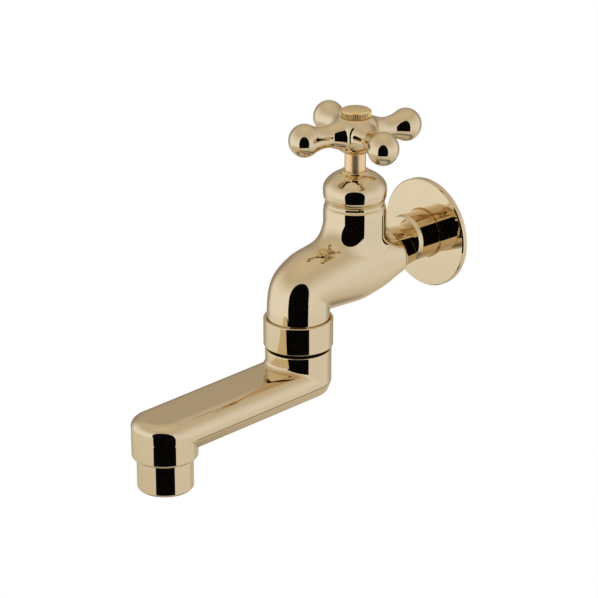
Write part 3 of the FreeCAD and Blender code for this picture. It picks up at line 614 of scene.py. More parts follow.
BLACK_RUBBER = grained("black_rubber", (0.045, 0.045, 0.045), (0.018, 0.018, 0.018), 0.6, 2500.0, 0.3)
WHITE_PACKING = grained("white_packing", (0.86, 0.86, 0.84), (0.74, 0.73, 0.70), 0.4, 1500.0, 0.2)
RED_FIBRE = grained("red_fibre", (0.42, 0.14, 0.10), (0.27, 0.08, 0.06), 0.75, 3000.0, 0.4)
GREY_PLASTIC = grained("grey_plastic", (0.56, 0.57, 0.59), (0.46, 0.47, 0.49), 0.42, 2000.0, 0.1)
print("materials so far", len(bpy.data.materials))

# %% [markdown]
# ## Placing a piece
# A finished piece takes its material, hides the construction's plain solid that it stands for, and rides on
# that solid's body, so that it turns and swings with it.

# %% Place a piece
def dress(name, part, material, body, node):
    """Makes a piece that stands for one solid of the construction."""
    piece = make_piece(name, *part)
    piece.data.materials.append(material)
    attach(piece, body)
    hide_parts(node)
    return piece

# %% [markdown]
# ## The body
# The casting is a tube that swells into a belly under the spindle and bends down into the swivel joint. A
# ball rolled along a bent path gives just that. Toward the wall the tube gets lower and squarer, so the
# ball changes its height and its squareness on the way. The path's corners are softened, so that the
# reflections run through the bends without a kink. The upright neck is joined with a fillet that is wide in
# front and tight behind.

# %% Path of the body
# Each ball is its y, its z, its radius, its height as a share of its width, and the power that squares it.
BODY_BALLS = [
    (-27.5, -2.8, 14.0, 0.56, 3.0),
    (-36.5, -2.8, 14.4, 0.82, 3.2),
    (-49.6, -3.8, 14.9, 1.0, 2.6),
    (-70.5, -5.2, 13.9, 1.0, 2.0),
    (-77.0, -7.6, 12.9, 1.0, 2.0),
    (-77.3, -14.0, 13.5, 1.0, 2.0),
    (-77.3, -40.0, 13.5, 1.0, 2.0),
]
PATH_STEP = 1.0
PATH_SOFTENING = 1.8
PATH_LEAD = 20.0
BLUR_STEPS = 8


def soft_path(balls):
    """Closely spaced balls along a path whose corners are softened: centres, radii, heights and powers."""
    balls = np.array(balls)
    runs = np.hypot(*np.diff(balls[:, :2], axis=0).T)
    reach = np.concatenate([[0], np.cumsum(runs)])
    stations = np.arange(-PATH_LEAD, reach[-1] + PATH_LEAD, PATH_STEP)
    tracks = [np.interp(stations, reach, balls[:, column]) for column in range(5)]
    before = stations < 0
    start_way = (balls[1] - balls[0]) / runs[0]
    tracks[:2] = [np.where(before, balls[0, c] + start_way[c] * stations, tracks[c]) for c in range(2)]
    blur = np.arange(-BLUR_STEPS, BLUR_STEPS + 1)
    weights = np.exp(-(blur * PATH_STEP / PATH_SOFTENING) ** 2 / 2)
    weights /= weights.sum()
    y, z, radii, heights, powers = [np.convolve(track, weights, "valid") for track in tracks]
    return np.stack([np.zeros_like(y), y, z], 1), radii, heights, powers


BODY_PATH = soft_path(BODY_BALLS)
print("body path", len(BODY_PATH[1]), "balls")

# %% [markdown]
# ## A rolling ball
# Measuring to every ball of the path would leave small steps between them. So the nearest ball is found
# first, and a parabola through it and its neighbours says where between them the nearest one of all would
# be.

# %% The skin of a rolling ball
def rolling_ball_field(spots, centres, radii, heights, powers):
    """The skin of a ball that rolls along closely spaced centres and changes size on its way.

    Its height is a share of its width, and a power above 2 squares its corners.
    """
    squared = (spots ** 2).sum(1)[:, None] - 2 * spots @ centres.T + (centres ** 2).sum(1)
    gaps = np.sqrt(np.maximum(squared, 0)) - radii
    best = np.clip(gaps.argmin(1), 1, len(radii) - 2)
    rows = np.arange(len(spots))
    before, here, after = gaps[rows, best - 1], gaps[rows, best], gaps[rows, best + 1]
    bend = np.maximum(before - 2 * here + after, TINY)
    shift = np.clip((before - after) / (2 * bend), -1, 1)
    distance = here - (before - after) / 2 * shift + bend / 2 * shift ** 2
    nearest = centres[best] + shift[:, None] * (centres[best + 1] - centres[best - 1]) / 2
    height = heights[best] + shift * (heights[best + 1] - heights[best - 1]) / 2
    power = powers[best] + shift * (powers[best + 1] - powers[best - 1]) / 2
    offset = spots - nearest
    round_size = np.maximum(length_of(offset), TINY)
    scaled = np.abs(offset) / np.stack([np.ones(len(spots)), np.ones(len(spots)), height], 1) + TINY
    size = (scaled ** power[:, None]).sum(1) ** (1 / power)
    way = np.sign(offset) * (scaled / size[:, None]) ** (power - 1)[:, None]
    way[:, 2] /= height
    return distance + size - round_size, unit_rows(way)

# %% [markdown]
# ## The body's skin
# The neck is a rod, the inlet's neck is a rod that widens toward the belly, and the rest is the rolled
# ball. Their fields are joined here into the casting. The ring under the bonnet is turned on the real
# casting after it is cast, so it comes off the lathe here too, as does the hidden end in the swivel joint.

# %% Body casting
CAST_CELL = 0.55
INLET_FILLET = 0.8
NECK_BLEND = 9.0
NECK_BLEND_BEHIND = 3.5
NECK_RING_Z = 18.0
NECK_ROOT_Z = -2.8
NECK_RING_RADIUS = NECK_RADIUS + 0.004
BOSS_ROUNDING = 3.0
INLET_NECK_FLARE = 0.13
INLET_FLARE_END = 14


def body_field(spots):
    """The casting. Where its parts meet out of sight, they run a few millimetres into each other."""
    tube = cut_flat(rolling_ball_field(spots, *BODY_PATH), spots, Y, BOSS_END_Y, 1, BOSS_ROUNDING)
    neck = post_field(spots, SPINDLE_Y, NECK_RADIUS, (NECK_ROOT_Z, 1.0), (NECK_RING_Z + 1, 0.3))
    behind = smooth((spots[:, Y] - SPINDLE_Y) / NECK_RADIUS)
    casting = join_round(tube, neck, NECK_BLEND + (NECK_BLEND_BEHIND - NECK_BLEND) * behind)
    distance, way = rod_field(spots, (0, 0, -INLET_NECK_DROP), INLET_NECK_RADIUS, Y)
    flare = np.clip(SHANK_END_Y - spots[:, Y], 0, INLET_FLARE_END) * INLET_NECK_FLARE
    inlet = cut_flat((distance - flare, way), spots, Y, SHANK_END_Y + 0.2, 1, 0.1)
    inlet = cut_flat(inlet, spots, Y, BOSS_END_Y - 4, -1, 0.1)
    return cut_flat(join_round(casting, inlet, INLET_FILLET), spots, Z, COLLAR_TOP - 3, -1, 0.3)


BODY_SKIN = skin(body_field, low=(-17, -93, -24), high=(17, -12, 25), cell=CAST_CELL)
SWIVEL_END = lathe(outline([
    (8.9, -27.2, 0), (12.9, -27.2, 0.3), (12.9, COLLAR_TOP - 2, 0), (8.9, COLLAR_TOP - 2, 0),
]), (0, SWIVEL_Y))
NECK_RING = lathe(outline([
    (11.4, NECK_RING_Z, 0), (NECK_RING_RADIUS, NECK_RING_Z, 0), (NECK_RING_RADIUS, 20.6, 3.0),
    (13.42, 22.9, 0.15), (12.35, 24.6, 0.45), (11.4, 24.6, 0),
]), (0, SPINDLE_Y))
print("body casting", len(BODY_SKIN[0]), "points")

# %% [markdown]
# ## The inlet
# Behind the flange the body ends in a half-inch pipe thread with 14 turns to the inch. The shank that
# carries it comes off the lathe. Its end is thinned, as on a real one, so that it finds its way into the
# fitting in the wall.

# %% Inlet shank
THREAD_START = 0.9
THREAD_END = 11.0
THREAD_PITCH = 25.4 / 14
THREAD_CORE_RADIUS = 9.4
THREAD_CREST_RADIUS = 10.48
SHANK = tipped(lathe(outline([
    (0.0, SHANK_END_Y - 2, 0), (10.0, SHANK_END_Y - 2, 0.1),
    (SHANK_RADIUS, SHANK_END_Y, 0), (SHANK_RADIUS, -1.3, 0.3),
    (THREAD_CORE_RADIUS, -1.3, 0), (THREAD_CORE_RADIUS, 12.2, 0.4), (8.4, 14.0, 0),
    (6.0, 14.0, 0.3), (6.0, -12.0, 0), (0.0, -12.0, 0),
], closed=False)))
print("shank", len(SHANK[1]), "faces")

# %% [markdown]
# ## Geometry Nodes from a script
# Whatever repeats by a rule is drawn by Geometry Nodes. These helpers make a tree with named inputs, close
# it, and run it once on an empty object. Only the mesh that it made is kept, so the finished tap carries no
# modifier.

# %% Geometry Nodes helpers
def node_tree(name, sizes):
    """An empty Geometry Nodes tree and its named inputs: a number for each size and a material."""
    tree = bpy.data.node_groups.new(name, "GeometryNodeTree")
    tree.interface.new_socket("Geometry", in_out="INPUT", socket_type="NodeSocketGeometry")
    for size in sizes:
        kind = "NodeSocketInt" if size == "Count" else "NodeSocketFloat"
        tree.interface.new_socket(size, in_out="INPUT", socket_type=kind)
    tree.interface.new_socket("Material", in_out="INPUT", socket_type="NodeSocketMaterial")
    tree.interface.new_socket("Geometry", in_out="OUTPUT", socket_type="NodeSocketGeometry")
    return tree, tree.nodes.new("NodeGroupInput").outputs


def close_tree(tree, given, geometry):
    """Turns copies into real mesh, gives it the material and sends it out."""
    whole = add_node(tree, "GeometryNodeRealizeInstances", {"Geometry": geometry})
    dressed = add_node(tree, "GeometryNodeSetMaterial", {
        "Geometry": whole["Geometry"], "Material": given["Material"]})
    add_node(tree, "NodeGroupOutput", {"Geometry": dressed["Geometry"]})
    return tree


def grown(name, tree, values):
    """What a Geometry Nodes tree makes from these values, as points, faces and corner normals."""
    host = new_object(name, [], [])
    modifier = host.modifiers.new(name, "NODES")
    modifier.node_group = tree
    inputs = {item.name: item.identifier for item in tree.interface.items_tree
              if item.item_type == "SOCKET" and item.in_out == "INPUT"}
    for key, value in values.items():
        modifier[inputs[key]] = value
    bpy.context.view_layer.update()
    evaluated = host.evaluated_get(bpy.context.evaluated_depsgraph_get())
    mesh = bpy.data.meshes.new_from_object(evaluated)
    points = np.array([vertex.co for vertex in mesh.vertices]) / MM
    faces = [tuple(polygon.vertices) for polygon in mesh.polygons]
    normals = np.array([normal.vector for normal in mesh.corner_normals])
    bpy.data.objects.remove(host)
    print(name, len(faces), "faces from", len(tree.nodes), "nodes")
    return points, faces, normals

# %% [markdown]
# ## The inlet's thread
# The ridge climbs at the same rate all along. A spiral curve with a three-sided profile follows that rule
# exactly, so the whole thread comes from four named sizes. It is grown upright and tipped over onto the
# inlet's axis.

# %% Inlet thread
def thread_tree():
    tree, given = node_tree("pipe_thread", ["Radius", "Turns", "Height", "Ridge"])
    spiral = add_node(tree, "GeometryNodeCurveSpiral", {
        "Resolution": 64, "Rotations": given["Turns"], "Start Radius": given["Radius"],
        "End Radius": given["Radius"], "Height": given["Height"]})
    upright = add_node(tree, "GeometryNodeSetCurveNormal", {"Curve": spiral["Curve"]}, mode="Z_UP")
    profile = add_node(tree, "GeometryNodeCurvePrimitiveCircle", {"Resolution": 3, "Radius": given["Ridge"]})
    ridge = add_node(tree, "GeometryNodeCurveToMesh", {
        "Curve": upright["Curve"], "Profile Curve": profile["Curve"], "Fill Caps": True})
    flat = add_node(tree, "GeometryNodeSetShadeSmooth", {"Geometry": ridge["Mesh"], "Shade Smooth": False})
    return close_tree(tree, given, flat["Geometry"])


RIDGE = (THREAD_CREST_RADIUS - THREAD_CORE_RADIUS) * 0.8
THREAD_TURNS = (THREAD_END - THREAD_START) / THREAD_PITCH
points, faces, normals = grown("inlet_thread", thread_tree(), {
    "Radius": (THREAD_CREST_RADIUS - RIDGE) * MM, "Turns": THREAD_TURNS,
    "Height": (THREAD_END - THREAD_START) * MM, "Ridge": RIDGE * MM, "Material": POLISHED_BRASS})
THREAD = tipped((points + [0, 0, THREAD_START], faces, normals))
BODY = join_parts([BODY_SKIN, NECK_RING, SWIVEL_END, SHANK, THREAD])
dress("tap_body_cast", BODY, POLISHED_BRASS, "tap", "tap_body")

# %% [markdown]
# ## The wall flange
# A pressed and turned disc covers the hole in the wall. Its face is flat and mirror bright, and only its
# very edge is broken, which draws the fine light line round it.

# %% Wall flange
FLANGE = tipped(lathe(outline([
    (SHANK_RADIUS + 0.05, 0.6 - FLANGE_THICKNESS, 0), (SHANK_RADIUS + 0.65, -FLANGE_THICKNESS, 0.1),
    (FLANGE_RADIUS - 0.5, -FLANGE_THICKNESS, 0.1), (FLANGE_RADIUS, 0.5 - FLANGE_THICKNESS, 0.1),
    (FLANGE_RADIUS, 0, 0.3), (21.55, 0, 0), (21.55, -1.2, 0), (13.45, -1.2, 0), (13.45, 0, 0),
    (SHANK_RADIUS + 0.05, 0, 0),
]), steps=256))
dress("flange_disc", FLANGE, POLISHED_BRASS, "tap", "wall_flange")

# %% [markdown]
# ## The bonnet
# The domed nut holds the packing round the stem. It is turned from bar: a short foot that slopes in to a
# groove, one full curve up over the shoulder to the crown, and a small round lip where the stem comes out.
# The curve runs through eight points without a kink, because a kink would show in its reflections.

# %% Bonnet nut
STEM_HOLE = 4.66
BONNET_FOOT = 24.0
bonnet_strokes = outline([
    (STEM_HOLE, 24.4, 0), (8.85, 20.0, 0), (8.85, 18.4, 0), (10.9, 18.4, 0), (10.9, BONNET_FOOT, 0),
    (12.9, BONNET_FOOT, 0), (12.9, 24.9, 0.1), (11.9, 26.0, 0), (12.6, 26.1, 0),
], closed=False)
bonnet_strokes += curve_through([
    (12.6, 26.1), (13.35, 26.75), (13.72, 28.4), (13.8, 30.6),
    (13.15, 33.2), (11.2, 35.5), (8.7, 37.25), (6.0, 38.3),
])
bonnet_strokes += arc_through((6.0, 38.3), (6.17, 38.65), (5.65, 39.0))
bonnet_strokes += outline([(5.65, 39.0, 0), (STEM_HOLE, 39.0, 0), (STEM_HOLE, 24.4, 0)], closed=False)
BONNET = lathe(bonnet_strokes, (0, SPINDLE_Y))
dress("bonnet_dome", BONNET, POLISHED_BRASS, "tap", "bonnet_nut")

# %% [markdown]
# ## The stem
# The spindle is the plain rod between bonnet and handle. Its thread and square are hidden, so they are only
# stepped here.

# %% Spindle
STEM = lathe(outline([
    (0, 4.02, 0), (7.0, 4.02, 0.3), (7.0, 14.0, 0.3), (4.6, 14.0, 0), (4.6, 48.4, 0.2),
    (3.1, 48.4, 0), (3.1, 56.2, 0.2), (0, 56.2, 0),
], closed=False), (0, SPINDLE_Y))
dress("spindle_stem", STEM, STEM_BRASS, "handle", "spindle")

# %% [markdown]
# ## The handle's arms
# Four arms stand round the hub. Each narrows to a neck and swells into a ball a little taller than it is
# wide. The hollow of the neck is part of a circle that just touches the ball, so hand and light run over it
# with no edge. A lathe could turn one arm, but as a field it can be blended into the hub.

# %% Arms of the handle
BALL_REACH = 24.4
BALL_RADIUS = 6.8
BALL_TALLNESS = 1.06
ARM_NECK_RADIUS = 4.4
ARM_NECK_REACH = 14.2
HUB_CENTRE = np.array([0, SPINDLE_Y, HUB_Z])


def arm_field(spots, turn):
    """One arm that points away from the hub at this turn."""
    offset = spots - HUB_CENTRE
    ahead = np.array([math.cos(turn), math.sin(turn), 0])
    sideways = np.array([-math.sin(turn), math.cos(turn), 0])
    along, aside, lift = offset @ ahead, offset @ sideways, offset[:, 2] / BALL_TALLNESS
    around = np.maximum(np.hypot(aside, lift), TINY)
    run = BALL_REACH - ARM_NECK_REACH
    hollow = (run ** 2 + ARM_NECK_RADIUS ** 2 - BALL_RADIUS ** 2) / (2 * (BALL_RADIUS - ARM_NECK_RADIUS))
    centre = np.array([ARM_NECK_RADIUS + hollow, ARM_NECK_REACH])
    spot = np.stack([np.minimum(around, centre[0] - 1), along], 1)
    from_hollow = spot - centre
    on_ball = -centre[0] * from_hollow[:, 1] - run * from_hollow[:, 0] < 0
    at_root = -centre[0] * from_hollow[:, 1] + centre[1] * from_hollow[:, 0] > 0
    ball_offset = spot - np.array([0, BALL_REACH])
    root_radius = math.hypot(*centre) - hollow
    distance = hollow - length_of(from_hollow)
    way = -from_hollow / length_of(from_hollow)[:, None]
    for chosen, shift, radius in ((on_ball, ball_offset, BALL_RADIUS), (at_root, spot, root_radius)):
        size = np.maximum(length_of(shift), TINY)
        distance = np.where(chosen, size - radius, distance)
        way = np.where(chosen[:, None], shift / size[:, None], way)
    slope = (way[:, 0] * aside / around)[:, None] * sideways + way[:, 1][:, None] * ahead
    return distance, slope + (way[:, 0] * lift / around)[:, None] * np.array([0, 0, 1])


ARM_HEIGHTS = arm_field(HUB_CENTRE + [[ARM_NECK_REACH, 0, 0], [BALL_REACH, 0, 0]], 0)[0]
print("an arm is %.1f mm thick at its neck and %.1f at its ball" % tuple(-2 * ARM_HEIGHTS))

# %% [markdown]
# ## The cross handle
# The hub is a ball that is slightly squared and cut flat above and below. An arm enters it in a wide
# fillet, which fades out before it reaches the ball, because a fillet that ran on would leave a crease
# there.

# %% Cross handle
HUB_RADIUS = 9.7
HUB_SQUARENESS = 2.3
HUB_BOTTOM = 46.8
HUB_TOP = 63.2
HUB_BLEND = 10.0
HUB_BLEND_START = 9.0
HUB_BLEND_END = 20.0
HANDLE_CELL = 0.5


def squared_ball_field(spots, centre, radius, power):
    """A ball whose sides are squared by a power above 2."""
    offset = spots - np.array(centre)
    scaled = np.abs(offset) + TINY
    size = (scaled ** power).sum(1) ** (1 / power)
    way = np.sign(offset) * (scaled / size[:, None]) ** (power - 1)
    return size - radius, unit_rows(way)


def handle_field(spots):
    hub = squared_ball_field(spots, HUB_CENTRE, HUB_RADIUS, HUB_SQUARENESS)
    hub = cut_flat(hub, spots, Z, HUB_TOP, 1, 0.5)
    handle = cut_flat(hub, spots, Z, HUB_BOTTOM, -1, 0.4)
    reach = np.hypot(spots[:, 0], spots[:, 1] - SPINDLE_Y)
    blend = HUB_BLEND * smooth((HUB_BLEND_END - reach) / (HUB_BLEND_END - HUB_BLEND_START))
    for index in range(4):
        handle = join_round(handle, arm_field(spots, HANDLE_TURN + index * math.pi / 2), blend)
    return handle


HANDLE = skin(handle_field, low=(-32, -77, 46), high=(32, -12, 66), cell=HANDLE_CELL)
dress("handle_cross", HANDLE, POLISHED_BRASS, "handle", "cross_handle")

# %% [markdown]
# ## The cap
# The little cap is knurled so that fingers can unscrew it. Forty-five upright ribs stand round its rim.
# They are one rib repeated, which is what Geometry Nodes is for: a circle of points, a rod on each,
# realized at the end.

# %% Handle cap
CAP_RADIUS = 6.75
CAP_CORE_RADIUS = 6.2
CAP_TOP = 66.5
RIB_COUNT = 45
KNURL_RADIUS = 0.31
KNURL_BOTTOM = 63.6
KNURL_TOP = 65.5


def knurl_tree():
    tree, given = node_tree("cap_knurl", ["Count", "Radius", "Rib", "Height"])
    ring = add_node(tree, "GeometryNodeMeshCircle", {"Vertices": given["Count"], "Radius": given["Radius"]})
    rib = add_node(tree, "GeometryNodeMeshCylinder", {
        "Vertices": 10, "Radius": given["Rib"], "Depth": given["Height"]})
    ribs = add_node(tree, "GeometryNodeInstanceOnPoints", {"Points": ring["Mesh"], "Instance": rib["Mesh"]})
    return close_tree(tree, given, ribs["Instances"])


points, faces, normals = grown("cap_ribs", knurl_tree(), {
    "Count": RIB_COUNT, "Radius": (CAP_RADIUS - KNURL_RADIUS) * MM, "Rib": KNURL_RADIUS * MM,
    "Height": (KNURL_TOP - KNURL_BOTTOM) * MM, "Material": KNURLED_GOLD})
RIBS = points + [0, SPINDLE_Y, (KNURL_TOP + KNURL_BOTTOM) / 2], faces, normals
cap_strokes = outline([
    (0, 60.8, 0), (5.35, 60.8, 0), (5.35, HUB_TOP, 0), (6.0, HUB_TOP, 0), (6.0, KNURL_BOTTOM, 0),
    (CAP_CORE_RADIUS, KNURL_BOTTOM, 0), (CAP_CORE_RADIUS, KNURL_TOP, 0), (6.3, KNURL_TOP, 0),
], closed=False)
cap_strokes += arc_through((6.3, KNURL_TOP), (5.95, CAP_TOP - 0.5), (5.2, CAP_TOP - 0.3))
cap_strokes += arc_through((5.2, CAP_TOP - 0.3), (2.6, CAP_TOP - 0.075), (0, CAP_TOP))
CAP = join_parts([lathe(cap_strokes, (0, SPINDLE_Y)), RIBS])
dress("handle_cap_knurled", CAP, KNURLED_GOLD, "handle", "handle_cap")

# %% [markdown]
# ## The swivel nut
# The plain collar under the elbow screws onto the body and carries the spout. A recess in its top leaves a
# dark line round the casting, and both of its edges are lightly broken.

# %% Swivel nut
COLLAR = lathe(outline([
    (13.8, COLLAR_TOP, 0.1), (13.8, -21.5, 0), (12.95, -21.5, 0), (12.95, -29.7, 0), (11.86, -29.7, 0),
    (11.86, COLLAR_BOTTOM, 0), (COLLAR_RADIUS, COLLAR_BOTTOM, 0.4), (COLLAR_RADIUS, COLLAR_TOP, 0.5),
]), (0, SWIVEL_Y))
dress("swivel_collar", COLLAR, POLISHED_BRASS, "tap", "swivel_nut")

# %% [markdown]
# ## The spout's bar
# The arm is a flat-topped bar that narrows a little toward its end. Its upper edges are rounded wide. Its
# lower edges are bevelled steeply, with a sharp upper edge that carries a painted hairline of shade. Seen
# from above the bar is a slot with two round ends, which is cut above and below.

# %% Bar of the spout
SIDE_ROUNDING = 6.4
TIP_ROUNDING = 3.8
BOTTOM_ROUNDING = 2.2
BEVEL_TILT = math.radians(20)
BEVEL_TOP = 4.9


def cut_fillet(one, other, radius):
    """What two fields share, rounded where they meet at any angle."""
    (a, way_a), (b, way_b) = one, other
    distance, way = join_round((-a, -way_a), (-b, -way_b), radius)
    return -distance, -way


def bar_field(spots):
    """The bar before the spout is swung: its plan is a tapered slot, rounded above and bevelled below."""
    aside, along = np.abs(spots[:, 0]), SWIVEL_Y - spots[:, 1]
    lean = (RISER_RADIUS - ARM_TIP_RADIUS) / ARM_LENGTH
    straight = math.sqrt(1 - lean ** 2)
    station = straight * along - lean * aside
    root, tip = np.hypot(aside, along), np.hypot(aside, along - ARM_LENGTH)
    distance = straight * aside + lean * along - RISER_RADIUS
    way_aside, way_along = np.full(len(spots), straight), np.full(len(spots), lean)
    at_root, at_tip = station < 0, station > straight * ARM_LENGTH
    for chosen, size, shift, radius in ((at_root, root, along, RISER_RADIUS),
                                        (at_tip, tip, along - ARM_LENGTH, ARM_TIP_RADIUS)):
        size = np.maximum(size, TINY)
        distance = np.where(chosen, size - radius, distance)
        way_aside = np.where(chosen, aside / size, way_aside)
        way_along = np.where(chosen, shift / size, way_along)
    plan = distance, np.stack([np.sign(spots[:, 0]) * way_aside, -way_along, np.zeros(len(spots))], 1)
    past_tip = np.clip((station / straight - ARM_LENGTH) / ARM_TIP_RADIUS, 0, 1)
    rounding = SIDE_ROUNDING + (TIP_ROUNDING - SIDE_ROUNDING) * past_tip
    bar = cut_flat(plan, spots, Z, ARM_TOP, 1, rounding)
    under, way_under = flat_field(spots, Z, ARM_BOTTOM, -1)
    level, down = math.cos(BEVEL_TILT), math.sin(BEVEL_TILT)
    bevel = level * plan[0] + down * (under + BEVEL_TOP), level * plan[1] + down * way_under
    return cut_round(bar, cut_fillet(bevel, (under, way_under), BOTTOM_ROUNDING), 0.3)


print("the bar narrows from %.1f to %.1f mm" % (2 * RISER_RADIUS, 2 * ARM_TIP_RADIUS))

# %% [markdown]
# ## The spout arm
# The riser stands on the bar's root, and a boss hangs from its tip to take the nozzle. The spout is formed
# pointing straight ahead, where its sizes are plain, and is then swung to where it was photographed.

# %% Spout arm
RISER_FOOT = ARM_TOP - 7
BOSS_ROOT = ARM_TOP - 5
RISER_FILLET = 2.0
BOSS_FILLET = 0.8


def spout_field(spots):
    riser = post_field(spots, SWIVEL_Y, RISER_RADIUS, (RISER_FOOT, 0.5), (RISER_TOP, 0.5))
    boss = post_field(spots, SWIVEL_Y - ARM_LENGTH, ARM_TIP_RADIUS, (OUTLET_FACE, 1.0), (BOSS_ROOT, 0.5))
    arm = join_round(bar_field(spots), riser, RISER_FILLET)
    return join_round(arm, boss, BOSS_FILLET)


def swung(part):
    """A part turned with the spout from straight ahead to where it was photographed."""
    points, faces, normals = part
    cosine, sine = math.cos(SPOUT_TURN), math.sin(SPOUT_TURN)
    turn = np.array([[cosine, -sine, 0], [sine, cosine, 0], [0, 0, 1]])
    pivot = np.array([0, SWIVEL_Y, 0])
    return (points - pivot) @ turn.T + pivot, faces, normals @ turn.T


SPOUT_SKIN = skin(spout_field, low=(-17, -173, -60), high=(17, -61, -31), cell=CAST_CELL)
SPOUT_NECK = lathe(outline([
    (0, -34.0, 0), (11.8, -34.0, 0), (11.8, -28.1, 0.2), (8.5, -28.1, 0), (8.5, -23.1, 0.2), (0, -23.1, 0),
], closed=False), (0, SWIVEL_Y))
SPOUT = swung(join_parts([SPOUT_SKIN, SPOUT_NECK]))
print("spout casting", len(SPOUT_SKIN[0]), "points")

# %% [markdown]
# ## The spout's finish
# The hairline of painted shade lies at one height, so the height of each place, from its object coordinates,
# says how dark it is. A painted mask would have to be drawn by hand, and this one follows the sizes. It
# stops short of the boss, which has no bevel. The faces hidden in the joint get the near-black brass as
# painted shade, so the gap under the collar reads as a shadow.

# %% Spout finish
# How dark the painted hairline of shade is, and where it fades out.
LINE_PAINTED_SHADE = 0.9
LINE_CORE = 0.1
LINE_EDGE = 0.34
JOINT_INSET = 0.6


def painted_bevel_shade(finish):
    """How much painted shade darkens the sharp upper edge of the bevel, away from the boss."""
    tip = (OUTLET[0] * MM, OUTLET[1] * MM, 0)
    place = finish.object_coordinates()
    height = finish.node("ShaderNodeSeparateXYZ", {"Vector": place}, 2)
    off_line = finish.math("ABSOLUTE", height - (ARM_BOTTOM + BEVEL_TOP) * MM, 0.0)
    line = finish.node("ShaderNodeMapRange", {
        "Value": off_line, "From Min": LINE_CORE * MM, "From Max": LINE_EDGE * MM,
        "To Min": LINE_PAINTED_SHADE, "To Max": 0.0}, interpolation_type="SMOOTHSTEP")
    level = finish.node("ShaderNodeVectorMath", {0: place, 1: (1, 1, 0)}, operation="MULTIPLY")
    away = finish.node("ShaderNodeVectorMath", {0: level, 1: tip}, "Value", operation="DISTANCE")
    clear = finish.node("ShaderNodeMapRange", {
        "Value": away, "From Min": (ARM_TIP_RADIUS + 0.3) * MM, "From Max": (ARM_TIP_RADIUS + 1.5) * MM,
    }, interpolation_type="SMOOTHSTEP")
    return line * clear


SPOUT_BRASS_PAINTED_LINE = polished_brass("spout_brass_painted_line", painted_bevel_shade)
spout = dress("spout_casting", SPOUT, SPOUT_BRASS_PAINTED_LINE, "spout", "spout_arm")
# The faces in the joint's gap get the near-black brass as painted shade.
spout.data.materials.append(JOINT_PAINTED_SHADE)
for face in spout.data.polygons:
    x, y, z = face.center / MM
    if z > RISER_TOP - 0.05 and math.hypot(x, y - SWIVEL_Y) < RISER_RADIUS - JOINT_INSET:
        face.material_index = 1
print("dark joint faces", sum(face.material_index for face in spout.data.polygons))

# %% [markdown]
# ## The nozzle
# The nozzle is screwed up into the boss. Its lower edge is rounded, and its mouth holds the screen.

# %% Outlet nozzle
NOZZLE = swung(lathe(outline([
    (8.6, -51.5, 0), (8.6, -63.2, 0), (10.2, -63.2, 0), (10.2, NOZZLE_BOTTOM, 0.5),
    (NOZZLE_RADIUS, NOZZLE_BOTTOM, 1.2), (NOZZLE_RADIUS, OUTLET_FACE, 0.1), (10.4, OUTLET_FACE, 0),
    (10.4, -51.5, 0.3),
]), (0, SWIVEL_Y - ARM_LENGTH)))
dress("nozzle_tube", NOZZLE, POLISHED_BRASS, "spout", "outlet_nozzle")

# %% [markdown]
# ## The pieces that keep the construction's shape
# What is inside, and the small rings, already have their true shapes. They only get their materials.

# %% Materials of the inner pieces
KEPT = (
    (BLACK_RUBBER, ["flange_gasket", "valve_washer", "swivel_packing", "outlet_gasket"]),
    (RAW_BRASS, ["valve_jumper", "valve_nut", "packing_washer", "swivel_washer"]),
    (RAW_BRASS, ["retaining_ring", "outlet_ring"]),
    (STEEL, ["spring_washer", "handle_screw", "outlet_screen"]),
    (WHITE_PACKING, ["gland_packing"]),
    (RED_FIBRE, ["bonnet_gasket"]),
    (GREY_PLASTIC, ["flow_straightener"]),
)
for material, nodes in KEPT:
    for node in nodes:
        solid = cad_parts[node]
        if not solid.material_slots:
            solid.data.materials.append(material)
        for material_slot in solid.material_slots:
            material_slot.material = material
    print(material.name, "on", ", ".join(nodes))

# %% [markdown]
# ## The studio
# Polished metal is photographed by building the room that it reflects, and the next cells build one. All
# that is not mirror is lit by an even white world over a pale floor, so that a colour comes out as it is
# written. The floor lies far below, as under an object that hangs on a wall.

# %% World and floor
FLOOR_Z = -900.0
FLOOR_HALF = 9000
MIDDLE_Y = -75.0


def stage_piece(name, points, faces, material):
    made = new_object(name, points, faces)
    made.data.materials.append(material)
    return made


def only_reflected(made):
    for ray in ("camera", "diffuse", "shadow", "transmission", "volume_scatter"):
        setattr(made, "visible_" + ray, False)


world = bpy.data.worlds.new("studio")
bpy.context.scene.world = world
world.use_nodes = True
background = world.node_tree.nodes["Background"]
background.inputs["Color"].default_value = (1, 1, 1, 1)
background.inputs["Strength"].default_value = 1.0

PALE_FLOOR = Finish("pale_floor").surface(Base_Color=(1, 1, 1, 1), Roughness=1.0, Specular_IOR_Level=0.0)
corners = [(x * FLOOR_HALF, y * FLOOR_HALF, FLOOR_Z) for x, y in ((-1, -1), (1, -1), (1, 1), (-1, 1))]
stage_piece("floor", corners, [(0, 1, 2, 3)], PALE_FLOOR)
print("floor", -FLOOR_Z, "mm below the inlet")

# %% [markdown]
# ## The tent's colours
# Photographers put a tent of cloth round a shiny object. This one has a cool white window on the left, a
# duller one on the right, a dim back, warm cloth above and below, and a dark line where the table ends.
# Colours that depend only on a direction need no picture: a function gives them, and the tent's points keep
# what it says.

# %% Colours of the tent
CAMERA_TURN = math.radians(47.9933)
CAMERA_LIFT = math.radians(22.0112)
LEFT_WINDOW = (0.93, 0.95, 0.98)
RIGHT_WINDOW = (0.84, 0.85, 0.88)
DIM_BACK = (0.34, 0.29, 0.23)
CLOTH_ABOVE = (0.62, 0.57, 0.49)
CLOTH_OVERHEAD = (0.70, 0.62, 0.51)
CLOTH_BELOW = (0.64, 0.59, 0.50)
TABLE_BELOW = (0.54, 0.54, 0.53)
